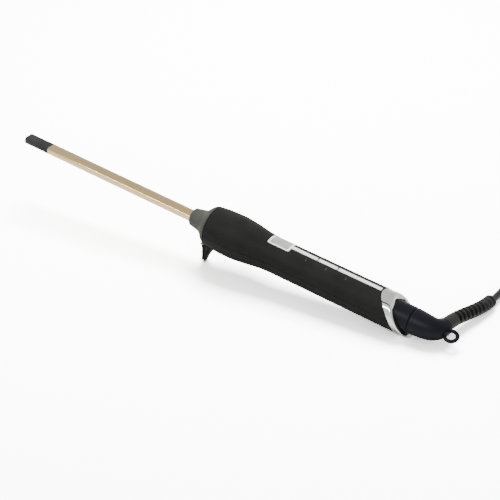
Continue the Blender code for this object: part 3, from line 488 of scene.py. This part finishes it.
def smooth_route(points, spacing):
    """Evenly spaced points on the Catmull-Rom curve through a route's points."""
    route = [Vector(p) for p in points]
    ends = [2 * route[0] - route[1], *route, 2 * route[-1] - route[-2]]
    fine = []
    for a, b, c, d in zip(ends, ends[1:], ends[2:], ends[3:]):
        for step in range(12):
            t = step / 12
            bend = (2 * a - 5 * b + 4 * c - d) * t * t + (3 * b - 3 * c + d - a) * t**3
            fine.append(0.5 * (2 * b + (c - a) * t + bend))
    fine.append(route[-1])
    reach = [0.0]
    for a, b in zip(fine, fine[1:]):
        reach.append(reach[-1] + (b - a).length)
    count = max(2, round(reach[-1] / spacing))
    even, at = [], 0
    for i in range(count + 1):
        goal = reach[-1] * i / count
        while at < len(reach) - 2 and reach[at + 1] < goal:
            at += 1
        share = (goal - reach[at]) / max(1e-9, reach[at + 1] - reach[at])
        even.append(fine[at].lerp(fine[at + 1], min(1.0, share)))
    return even


# ---------------------------------------------------------------- cord

# from the strain relief over the table to the coil, in mm
RUN = [
    (197.55, 60.9, 5.81),
    (197.5, 66.85, 5.38),
    (197.6, 79.0, 4.2),
    (197.2, 92.0, 3.1),
    (198.0, 107.0, CORD_LEVEL),
    (205.5, 121.0, CORD_LEVEL),
    (219.5, 127.6, CORD_LEVEL),
    (233.0, 121.8, CORD_LEVEL),
    (240.4, 108.0, CORD_LEVEL),
    (242.2, 92.0, CORD_LEVEL),
]
# from the coil to the plug's guard
TAIL = [
    (293.0, 19.3, CORD_LEVEL),
    (306.0, 20.2, CORD_LEVEL),
    (321.0, 25.0, 2.9),
    (332.0, 36.0, 3.6),
    (336.6, 48.0, 5.6),
    (PLUG_X, 59.7, PLUG_LEVEL),
]


def coil_points():
    """The wound cord: three turns to a layer, in and out in turn, in four layers from the bottom up.

    Each move goes from one radius and height to the next between two angles, counted on from turn to turn.
    The turns of one layer all shift in the same place, and each layer starts to climb just past it.
    """
    wide, middle, narrow = 36.6, 31.0, 25.4
    levels = [3.7 + i * 2 * CORD_RADIUS for i in range(4)]
    low, second, third, top = levels
    moves = [
        (168, 235, 43.4, wide, CORD_LEVEL, low),
        (470, 520, wide, middle, low, low),
        (830, 880, middle, narrow, low, low),
        (1140, 1190, narrow, narrow, low, second),
        (1450, 1500, narrow, middle, second, second),
        (1810, 1860, middle, wide, second, second),
        (2120, 2170, wide, wide, second, third),
        (2430, 2480, wide, middle, third, third),
        (2790, 2840, middle, narrow, third, third),
        (3100, 3150, narrow, narrow, third, top),
        (3410, 3460, narrow, middle, top, top),
        (3770, 3820, middle, wide, top, top),
        (4085, 4150, wide, 42.8, top, top),
        (4150, 4232, 42.8, 42.8, top, CORD_LEVEL),
    ]
    points = []
    for angle in range(moves[0][0], moves[-1][1], 12):
        for start, end, r0, r1, z0, z1 in moves:
            if angle >= start:
                t = min(1.0, (angle - start) / (end - start))
                t = t * t * (3 - 2 * t)
                radius, height = r0 + (r1 - r0) * t, z0 + (z1 - z0) * t
        turn = math.radians(angle)
        x = COIL_CENTRE[0] + radius * math.cos(turn)
        points.append((x, COIL_CENTRE[1] + radius * math.sin(turn), height))
    return points


def make_cord():
    route = [Vector(p) * MM for p in RUN + coil_points() + TAIL]
    path = smooth_route(route, 3.4 * MM)
    length = sum((b - a).length for a, b in zip(path, path[1:]))
    cord = pipe("mains_cord", path, [CORD_RADIUS] * len(path), 16)
    nodes = ("cord_run", "cord_coil", "cord_tail")
    take(cord)
    bpy.ops.object.shade_smooth()
    cord.data.materials.append(PVC)
    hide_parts(*nodes)
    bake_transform(cord)
    return cord, path, length


def make_strain_relief():
    """A tapered sleeve with slots across it, and a spine down each side that the slots leave."""
    mouth, mouth_way = housing_point(1.0)
    start = mouth - 2.4 * mouth_way
    end = Vector((SEAM_X + 33.2, 66.5, -4.8))
    away = Vector((0.0, end.y, end.z)).normalized()
    curve = [start, start + 20 * mouth_way, end - 20 * away, end]
    steps = 400
    fine = [bezier(curve, i / steps)[0] for i in range(steps + 1)]
    reach = [0.0]
    for a, b in zip(fine, fine[1:]):
        reach.append(reach[-1] + (b - a).length)
    total = reach[-1]
    slots, pitch, slot = 10, 4.5, 2.1
    first = total - slots * pitch - 0.5
    at, places = 0.0, []
    while at < total:
        places.append(at)
        at += 0.32
    places.append(total)
    points, fulls, radii = [], [], []
    for at in places:
        nearest = min(range(steps + 1), key=lambda i: abs(reach[i] - at))
        points.append(fine[nearest] * MM)
        full = 5.4 - 0.3 * at / total
        along = (at - first) / pitch
        depth = 0.0
        if 0 <= along < slots:
            across = (along % 1.0) * pitch
            depth = max(0.0, min(1.0, (slot / 2 + 0.35 - abs(across - slot / 2 - 0.3)) / 0.5))
        end_round = 0.7 * max(0.0, 1 - (total - at) / 0.9) ** 2
        fulls.append(full - end_round)
        radii.append(full - end_round - 2.1 * depth)
    sleeve = pipe("strain_relief_sleeve", points, radii, 44)
    sides = len(sleeve.data.vertices) // len(points)
    for ring, (place, full, radius) in enumerate(zip(points, fulls, radii)):
        for v in sleeve.data.vertices[ring * sides : (ring + 1) * sides]:
            out = v.co - place
            way = out.normalized()
            spine = abs(way.dot(Vector((0.94, 0.0, -0.34))))
            keep = max(0.0, min(1.0, (spine - 0.86) / 0.05))
            v.co = place + way * (radius + (full - radius) * keep) * MM
    return complete(sleeve, RUBBER, "swivel", ["strain_relief"])


def bezier(points, t):
    """Place and direction on a cubic Bezier curve."""
    a, b, c, d = points
    s = 1 - t
    place = s**3 * a + 3 * s * s * t * b + 3 * s * t * t * c + t**3 * d
    along = 3 * s * s * (b - a) + 6 * s * t * (c - b) + 3 * t * t * (d - c)
    return place, along.normalized()


def housing_point(t):
    """Place and direction on the elbow's centre line, in mm."""
    ends = [(0.3, 0, 0), (10.5, 0, 0), (21.5, -1.8, 0), (21.8, 9.8, 0)]
    return bezier([Vector((SEAM_X + x, y, z)) for x, y, z in ends], t)


cord, cord_path, cord_length = make_cord()


# ---------------------------------------------------------------- barrel and nose


def make_barrel():
    barrel = box_piece("barrel_tube", (-165.0, 20.0), BARREL_Y, BARREL_Z)
    choose(barrel, "EDGE", along_x)
    bpy.ops.mesh.bevel(offset=BARREL_CORNER * MM, segments=7, affect="EDGES")
    choose(barrel, "FACE", lambda f: abs(f.normal.x) > 0.9)
    bpy.ops.mesh.inset(thickness=0.9 * MM)
    bpy.ops.mesh.delete(type="FACE")
    choose(barrel, "EDGE", lambda e: e.is_boundary)
    bpy.ops.mesh.bridge_edge_loops()
    close_up()
    soften(barrel, 0.22, 2, 60)
    complete(barrel, GOLD, "wand_body", ["barrel"])

    tip = box_piece("barrel_tip", (-189.5, -165.3), BARREL_Y, BARREL_Z)
    choose(tip, "EDGE", along_x)
    bpy.ops.mesh.bevel(offset=BARREL_CORNER * MM, segments=7, affect="EDGES")
    choose(tip, "EDGE", lambda e: all(v.co.x < -0.189 for v in e.verts))
    bpy.ops.mesh.bevel(offset=0.9 * MM, segments=4, affect="EDGES")
    choose(tip, "FACE", lambda f: f.normal.x > 0.9)
    bpy.ops.mesh.inset(thickness=1.3 * MM)
    bpy.ops.mesh.extrude_region_move(TRANSFORM_OT_translate={"value": (8.5 * MM, 0, 0)})
    bpy.ops.object.mode_set(mode="OBJECT")
    soften(tip, 0.2, 2, 60)
    complete(tip, TIP_GREY, "wand_body", ["tip_cap"])


def foot_front(z):
    """x of the foot's front: it leaves the collar's neck in a curve, then runs nearly straight."""
    below = max(0.0, (-z - NECK_RADIUS) / (FOOT_DEPTH - NECK_RADIUS))
    return -6.4 - 3.4 * math.exp(-7.0 * below) - 0.5 * (1 - below)


def foot_half_width(z):
    """Half the foot's width: it flows out of the handle's sides, then tapers a little."""
    below = max(0.0, -z - FLANGE_RADIUS)
    return 4.2 * (1.15 - 0.15 * below / 19.8) + 2.77 * math.exp(-below / 2.6)


def table_level(x, z_low):
    """z of the table under x in the wand's own frame, where it passes z_low at the foot's back edge."""
    return z_low + (x + 4.0) * math.tan(PITCH)


def make_nose():
    profile = [
        (-19.5, 5.9),
        (-19.5, 6.8),
        (-19.3, 7.15),
        (-18.9, 7.35),
        (-15.5, 8.0),
        (-12.5, 8.65),
        (-10.5, 9.15),
        (-9.4, 9.5),
        (-8.4, 10.0),
        (-7.4, 10.8),
        (-6.4, 11.9),
        (-5.4, 13.05),
        (-4.4, 14.1),
        (-3.5, 14.9),
        (-2.7, 15.5),
        (-2.0, 15.9),
        (-1.2, 16.15),
        (-0.3, 16.2),
        (-0.3, 14.1),
        (6.0, 14.1),
        (6.0, 12.1),
        (-1.0, 12.1),
        (-5.4, 7.9),
        (-5.4, 5.9),
    ]
    nose = lathe("nose_collar_moulding", profile, 96)
    plug = lathe("nose_fill", [(-19.4, 6.5), (-5.5, 6.5)], 48, solid=True)
    combine(nose, plug, "UNION")
    skin_back = foot_front(-28.8) + 1.4
    sections = [
        (-8.8, foot_front(-9.3), -1.0, 5.3),
        (-10.5, foot_front(-10.5), -1.0, 5.5),
        (-12.5, foot_front(-12.5), -1.0, 5.9),
        (-14.5, foot_front(-14.5), -1.0, 6.7),
        (-16.15, foot_front(-16.2), -1.0, 7.5),
        (-16.25, foot_front(-16.3), skin_back, 7.5),
    ]
    shape = ((-17.2, 1.0), (-18.3, 1.0), (-19.6, 1.0), (-21.5, 1.0), (-24.0, 1.0), (-27.0, 0.97))
    shape += ((-30.0, 0.92), (-32.0, 0.86), (-33.7, 0.78), (-34.8, 0.66), (-35.2, 0.52))
    for z, width in shape:
        # the toe flicks forward a little
        toe = 0.9 * max(0.0, (-z - 31.0) / 4.2) ** 2
        sections.append((z, foot_front(z) - toe, skin_back, foot_half_width(z) * width))
    skin = column("foot_skin", sections)
    combine(nose, skin, "UNION")
    opening = box_piece("nose_opening", (-21.0, 0.0), (-5.35, 5.35), (-3.35, 3.35))
    choose(opening, "EDGE", along_x)
    bpy.ops.mesh.bevel(offset=1.6 * MM, segments=5, affect="EDGES")
    bpy.ops.object.mode_set(mode="OBJECT")
    combine(nose, opening, "DIFFERENCE")
    add_modifier(nose, "REMESH", mode="VOXEL", voxel_size=0.00036)
    add_modifier(nose, "SMOOTH", factor=0.5, iterations=4)
    complete(nose, HEAT_GREY, "wand_body", ["nose_collar"], angle=60)


# ---------------------------------------------------------------- handle


def ring_front(z):
    return 119.3 + math.sqrt(55.0**2 - (z + 31.5) ** 2)


def ring_back(z):
    return 170.5 - 0.74 * z


def handle_radius(x):
    if x < 20:
        return 17.65 - 1.25 * (1 - x / 20) ** 2
    t = min(1.0, (x - 20) / 39)
    return GRIP_RADIUS + 3.65 * (0.5 + 0.5 * math.cos(math.pi * t))


def make_shell(name, way):
    """Half of the handle: a turned tube with its rear end cut to the end ring's arc, then split level."""
    stations = [0.3, 0.6, 1.4] + list(range(4, 60, 3)) + [75, 95, 115, 138, 150]
    wall = 2.0
    profile = [(0.3, handle_radius(0.3) - 0.5), (0.45, handle_radius(0.45) - 0.15)]
    profile += [(x, handle_radius(x)) for x in stations[1:]]
    profile += [(x, handle_radius(x) - wall) for x in reversed(stations)]
    shell = lathe(name, profile, 128)
    for v in shell.data.vertices:
        if v.co.x > 0.149:
            v.co.x = ring_front(v.co.z / MM) * MM
    take(shell)
    bpy.ops.object.mode_set(mode="EDIT")
    bpy.ops.mesh.select_all(action="SELECT")
    bpy.ops.mesh.bisect(
        plane_co=(0, 0, way * 0.15 * MM),
        plane_no=(0, 0, way),
        use_fill=True,
        clear_inner=True,
    )
    close_up()
    return shell


def seam_band(name, inner, outer, low, high):
    """The tongue or the groove at the seam: a tube in the handle's wall, cut between two heights."""
    stations = [1.0, *range(4, 60, 4), 75, 115, 162]
    profile = [(x, handle_radius(x) - outer) for x in stations]
    profile += [(x, handle_radius(x) - inner) for x in reversed(stations)]
    band = lathe(name, profile, 128)
    take(band)
    bpy.ops.object.mode_set(mode="EDIT")
    for height, way in ((low, -1), (high, 1)):
        bpy.ops.mesh.select_all(action="SELECT")
        bpy.ops.mesh.bisect(
            plane_co=(0, 0, height * MM), plane_no=(0, 0, way), use_fill=True, clear_outer=True
        )
    close_up()
    return band


def make_upper_shell():
    shell = make_shell("handle_upper_moulding", 1)
    combine(shell, seam_band("seam_groove", 2.5, 0.8, -1.0, 1.5), "DIFFERENCE")
    window = box_piece("bezel_opening", (51.7, 71.5), (-5.9, 5.9), (9.0, 20.0))
    choose(window, "EDGE", upright)
    bpy.ops.mesh.bevel(offset=1.2 * MM, segments=4, affect="EDGES")
    bpy.ops.object.mode_set(mode="OBJECT")
    combine(shell, window, "DIFFERENCE")
    slot = box_piece("button_slot", (70.5, 129.0), (-2.0, 2.0), (9.0, 20.0))
    combine(shell, slot, "DIFFERENCE")
    groove = box_piece("trim_groove", (128.0, 166.0), (-2.0, 2.0), (12.8, 20.0))
    combine(shell, groove, "DIFFERENCE")
    complete(shell, SOFT_BLACK, "wand_body", ["handle_upper_shell"])


def make_lower_shell():
    shell = make_shell("handle_lower_moulding", -1)
    combine(shell, seam_band("seam_tongue", 1.9, 1.05, -2.0, 1.2), "UNION")
    back = foot_front(-28.8) + 1.4 + 0.3
    sections = [
        (-13.95, 0.6, 12.0, 8.55),
        (-15.2, 0.6, 10.6, 8.0),
        (-16.2, 0.6, 9.5, 7.7),
        (-16.8, 0.6, 8.9, 7.2),
        (-16.85, back, 8.8, 7.2),
    ]
    shape = ((17.5, 7.6, 1.0), (18.2, 5.9, 1.0), (19.2, 4.1, 1.0), (20.8, 2.6, 1.0), (22.8, 1.3, 1.0))
    shape += ((25.0, 0.1, 0.98), (27.2, -1.0, 0.95), (29.2, -1.9, 0.91), (31.0, -2.6, 0.86))
    shape += ((32.5, -3.05, 0.8), (33.9, -3.4, 0.72), (35.0, -3.7, 0.62))
    sections += [(-z, back, x, foot_half_width(-z) * width) for z, x, width in shape]
    sections.append((-FOOT_DEPTH, back + 0.1, -4.0, 2.3))
    foot = column("foot_fin", sections)
    inside = [(x, handle_radius(x) - 1.0) for x in range(0, 16)]
    core = lathe("handle_hollow", [(-1.0, inside[0][1]), *inside], 96, solid=True)
    combine(foot, core, "DIFFERENCE")
    for v in foot.data.vertices:
        if v.co.z < -0.0358:
            v.co.z = table_level(v.co.x / MM, -FOOT_DEPTH) * MM
    combine(shell, foot, "UNION")
    for x in (34.0, 135.6):
        ready()
        bpy.ops.mesh.primitive_cylinder_add(
            vertices=48, radius=2.9 * MM, depth=12 * MM, location=(x * MM, 0, -16 * MM)
        )
        hole = bpy.context.object
        combine(shell, hole, "DIFFERENCE")
    complete(shell, SOFT_BLACK, "wand_body", ["handle_lower_shell"])


def make_display():
    bezel = curved_block("display_frame", (52.0, 71.2), 5.6, 12.4, STRIP_TOP, 1.0)
    neck = curved_block("display_frame_neck", (69.5, 77.2), STRIP_HALF_WIDTH, 12.4, STRIP_TOP, 0.0, 6)
    combine(bezel, neck, "UNION")
    hole = box_piece("display_hole", (53.7, 69.5), (-4.4, 4.4), (8.0, 18.0))
    choose(hole, "EDGE", upright)
    bpy.ops.mesh.bevel(offset=0.6 * MM, segments=4, affect="EDGES")
    bpy.ops.object.mode_set(mode="OBJECT")
    combine(bezel, hole, "DIFFERENCE")
    soften(bezel, 0.2, 2, 50)
    complete(bezel, SATIN, "wand_body", ["display_bezel"])
    pane = curved_block("display_pane", (54.0, 69.2), 4.1, 12.4, 14.15, 0.4)
    soften(pane, 0.15, 2, 50)
    complete(pane, GLASS, "wand_body", ["display_window"])


def make_buttons():
    """Three copies of one bar with soft edges, a tick beside each, and the strip behind them."""
    first = curved_block("button_bar", (-8.2, 8.2), STRIP_HALF_WIDTH, 10.6, STRIP_TOP, 0.5, 8)
    soften(first, 0.3, 3, 45)
    for i, word in enumerate(("power", "minus", "plus")):
        button = first.copy()
        button.data = first.data.copy()
        bpy.context.collection.objects.link(button)
        button.name = f"{word}_button_bar"
        button.location.x = (FIRST_BUTTON_X + BUTTON_PITCH * i) * MM
        complete(button, SATIN, f"{word}_key", [f"{word}_button"])
        # a small tick on the near side of the handle points at each button
        tick = curved_block(f"{word}_tick", (-0.16, 0.16), 1.2, 13.9, 14.03, 0.0, 4)
        tick.rotation_euler.x = math.radians(22)
        tick.location.x = (FIRST_BUTTON_X + 1.2 + BUTTON_PITCH * i) * MM
        complete(tick, INK, "wand_body")
    bpy.data.objects.remove(first)
    trim = curved_block("rear_strip_trim", (128.78, 149.6), STRIP_HALF_WIDTH, 13.2, STRIP_TOP, 0.0, 8)
    soften(trim, 0.25, 2, 45)
    complete(trim, SATIN, "wand_body", ["strip_trim"])


def make_end_ring():
    """A plated ring whose front follows the handle's arc and whose back is a slanted plane."""
    front, back = ring_front, ring_back
    shape = [
        (142.0, 10.5, lambda z: 142.0),
        (142.1, 11.7, lambda z: 142.0),
        (143.0, 11.7, lambda z: front(z) + 0.3),
        (144.0, 13.75, lambda z: front(z) + 0.3),
        (145.0, GRIP_RADIUS, lambda z: front(z) + 0.55),
        (150.0, GRIP_RADIUS, lambda z: 0.66 * front(z) + 0.34 * back(z)),
        (155.0, GRIP_RADIUS, lambda z: 0.33 * front(z) + 0.67 * back(z)),
        (160.0, GRIP_RADIUS, lambda z: back(z) - 1.2),
        (161.0, 13.9, lambda z: back(z) - 0.7),
        (162.0, 13.65, lambda z: back(z) - 0.3),
        (163.0, 13.2, lambda z: back(z) - 0.06),
        (164.0, 12.8, lambda z: back(z)),
        (165.0, 10.9, lambda z: back(z)),
        (166.0, 10.5, lambda z: back(z) - 0.25),
    ]
    ring = lathe("end_ring_plated", [(x, r) for x, r, _ in shape], 128)
    for v in ring.data.vertices:
        nearest = min(shape, key=lambda s: abs(s[0] - v.co.x / MM))
        v.co.x = nearest[2](v.co.z / MM) * MM
    complete(ring, CHROME, "wand_body", ["end_ring"], angle=30)


def make_swivel():
    cap = [
        (152.0, 8.6),
        (152.0, 10.2),
        (176.9, 10.2),
        (177.5, 10.1),
        (177.75, 9.9),
        (177.85, 9.5),
        (177.9, 5.3),
        (174.9, 5.3),
        (174.9, 8.6),
    ]
    complete(lathe("rear_cap_moulding", cap, 96), NAVY, "wand_body", ["rear_cap"])

    points, radii = [], []
    steps = 48
    for i in range(steps + 1):
        t = i / steps
        place, _ = housing_point(t)
        radius = 10.2 + (6.8 - 10.2) * t**1.7
        edge = min(1.0, i / 2)
        points.append(place * MM)
        radii.append(radius - 0.45 * (1 - edge) ** 2)
    elbow = pipe("swivel_elbow", points, radii, 72)
    mouth, way = housing_point(1.0)
    turn = way.to_track_quat("Z", "X").to_euler()
    ready()
    bpy.ops.mesh.primitive_torus_add(
        major_segments=72,
        minor_segments=20,
        major_radius=6.2 * MM,
        minor_radius=0.72 * MM,
        location=(mouth - 0.5 * way) * MM,
        rotation=turn,
    )
    combine(elbow, bpy.context.object, "UNION")
    ready()
    bpy.ops.mesh.primitive_cylinder_add(
        vertices=72, radius=5.6 * MM, depth=7 * MM, location=(mouth + 0.2 * way) * MM, rotation=turn
    )
    combine(elbow, bpy.context.object, "DIFFERENCE")
    ready()
    bpy.ops.mesh.primitive_torus_add(
        major_segments=64,
        minor_segments=24,
        major_radius=4.7 * MM,
        minor_radius=1.5 * MM,
        location=((SEAM_X + 30.8) * MM, 2.6 * MM, -0.4 * MM),
        rotation=(math.radians(17), 0, 0),
    )
    loop = bpy.context.object
    take(loop)
    bpy.ops.object.transform_apply(location=True, rotation=True, scale=True)
    combine(elbow, loop, "UNION")
    complete(elbow, NAVY, "swivel", ["swivel_housing"], angle=50)


make_barrel()
make_nose()
make_upper_shell()
make_lower_shell()
make_display()
make_buttons()
make_end_ring()
make_swivel()
relief = make_strain_relief()


# ---------------------------------------------------------------- plug and tie


def make_plug():
    """A flat two-pin plug: a tapered body with a grip waist, and a ribbed guard behind it."""
    low, high = PLUG_LEVEL - 6.85, PLUG_LEVEL + 6.85
    body = box_piece("plug_moulding", (324.5, 349.5), (78.0, 113.0), (low, high))
    bpy.ops.mesh.select_all(action="SELECT")
    for y in (84.0, 92.0, 100.0):
        bpy.ops.mesh.bisect(plane_co=(0, y * MM, 0), plane_no=(0, 1, 0))
        bpy.ops.mesh.select_all(action="SELECT")
    for y, across, up in ((78.0, 0.52, 0.86), (84.0, 0.6, 0.9), (92.0, 0.86, 0.94), (100.0, 1.0, 1.0)):
        choose(body, "VERT", lambda v: abs(v.co.y - y * MM) < 1e-5)
        middle = (PLUG_X * MM, y * MM, PLUG_LEVEL * MM)
        bpy.ops.transform.resize(value=(across, 1, up), center_override=middle)
    bpy.ops.object.mode_set(mode="OBJECT")
    soften(body, 2.2, 4, 30)
    soften(body, 0.2, 2, 50)
    complete(body, PVC, "wand_body", ["plug_body"], turned=False, angle=40)

    points, radii = [], []
    steps = 88
    for i in range(steps + 1):
        y = 60.0 + i * 0.2
        points.append(Vector((PLUG_X, y, PLUG_LEVEL)) * MM)
        ridge = 0.5 + 0.5 * math.cos(2 * math.pi * (y - 61.5) / 3.4)
        radii.append(4.2 + 1.5 * i / steps - (0.9 * ridge if 61 < y < 76.5 else 0.2))
    guard = pipe("plug_guard_ribs", points, radii, 40)
    complete(guard, PVC, "wand_body", ["plug_guard"], turned=False, angle=60)

    inner, outer, low, high = 21.4, 40.05, 0.32, 23.85
    x = COIL_CENTRE[0] + (inner + outer) / 2
    y = COIL_CENTRE[1]
    half = (outer - inner) / 2
    strap = box_piece("coil_strap", (x - half, x + half), (y - 4, y + 4), (low, high))
    choose(strap, "EDGE", lambda e: abs(e.verts[0].co.y - e.verts[1].co.y) > 0.007)
    bpy.ops.mesh.bevel(offset=2.2 * MM, segments=5, affect="EDGES")
    choose(strap, "FACE", lambda f: abs(f.normal.y) > 0.9)
    bpy.ops.mesh.inset(thickness=0.5 * MM)
    bpy.ops.mesh.delete(type="FACE")
    choose(strap, "EDGE", lambda e: e.is_boundary)
    bpy.ops.mesh.bridge_edge_loops()
    close_up()
    complete(strap, STRAP, "wand_body", ["coil_tie"], turned=False)
    return body, guard, strap


plug, guard, strap = make_plug()
nodes = frame["nodes"]

NODE_FINISHES = {
    CERAMIC: ["heater", "heater_lead_left", "heater_lead_right", "barrel_holder"],
    MILL: ["heat_spreader", "thermal_fuse"],
    STEEL: ["heater_spring", "front_screw", "rear_screw", "spindle_clip"],
    BRASS: ["contact_brush_1", "contact_brush_2", "slip_ring_1", "slip_ring_2"],
    CHROME: ["plug_pin_1", "plug_pin_2"],
    LAMINATE: ["circuit_board", "film_capacitor"],
    EPOXY: ["temperature_sensor", "triac", "processor", "display_module"],
    NAVY: ["swivel_spindle"],
    PVC: ["mains_lead_1", "mains_lead_2"],
    SOFT_BLACK: ["power_switch", "minus_switch", "plus_switch"],
}
for finish, names in NODE_FINISHES.items():
    for name in names:
        node = nodes[name]
        node.data.materials.clear()
        node.data.materials.append(finish)


# ---------------------------------------------------------------- floor and light


def make_studio():
    ready()
    bpy.ops.mesh.primitive_plane_add(size=8.0, location=(0, 0, -0.0002))
    floor = bpy.context.object
    floor.name = "studio_floor"
    made = bpy.data.materials.new("overexposed_white_table")
    made.use_nodes = True
    tree = made.node_tree
    tree.nodes.remove(tree.nodes["Principled BSDF"])
    sight = add(tree, "ShaderNodeLightPath", {})
    # the table is as white as paper to the wand, and brighter than that to the camera
    gain = add(
        tree,
        "ShaderNodeMapRange",
        {"To Min": 0.75, "To Max": 4.5},
        ("Value", sight.outputs["Is Camera Ray"]),
    )
    shader = add(tree, "ShaderNodeBsdfDiffuse", {}, ("Color", gain.outputs["Result"]))
    tree.links.new(shader.outputs["BSDF"], tree.nodes["Material Output"].inputs["Surface"])
    floor.data.materials.append(made)

    lights = (
        ("overhead_softbox", (-0.15, 0.5, 1.2), (0.7, 0.7), 40.0),
        ("front_tube", (-0.42, -0.95, 0.84), (1.6, 0.07), 16.0),
    )
    for name, place, size, power in lights:
        bpy.ops.object.light_add(type="AREA", location=place)
        light = bpy.context.object
        light.name = name
        light.data.shape = "RECTANGLE"
        light.data.size, light.data.size_y = size
        light.data.energy = power
        light.visible_glossy = name == "front_tube"
        light.visible_diffuse = not light.visible_glossy
        light.rotation_euler = (math.atan2(-place[1], place[2]), 0, 0)

    world = bpy.data.worlds.new("studio")
    bpy.context.scene.world = world
    world.use_nodes = True
    tree = world.node_tree
    shade = tree.nodes["Background"]
    way = add(tree, "ShaderNodeTexCoord", {})
    parts = add(tree, "ShaderNodeSeparateXYZ", {}, ("Vector", way.outputs["Generated"]))
    front = add(tree, "ShaderNodeMath", {"operation": "MULTIPLY", 1: -1.0}, (0, parts.outputs["Y"]))
    lean = add(
        tree,
        "ShaderNodeMath",
        {"operation": "ARCTAN2"},
        (0, front.outputs["Value"]),
        (1, parts.outputs["Z"]),
    )
    turn = add(
        tree,
        "ShaderNodeMapRange",
        {"From Min": -math.pi, "From Max": math.pi},
        ("Value", lean.outputs["Value"]),
    )
    ramp = add(tree, "ShaderNodeValToRGB", {}, ("Fac", turn.outputs["Result"]))
    # round the wand's length: white low behind, a grey sweep above it, a dark gap, then the white front panel
    grey, dark, white = hex_colour("#dfe2dd"), hex_colour("#060606"), hex_colour("#ffffff")
    stops = [(0.0, white), (0.3, white), (0.325, grey), (0.562, grey), (0.566, dark), (0.582, dark)]
    stops += [(0.586, white), (1.0, white)]
    set_ramp(ramp, stops)
    tree.links.new(ramp.outputs["Color"], shade.inputs["Color"])
    shade.inputs["Strength"].default_value = 1.1


make_studio()
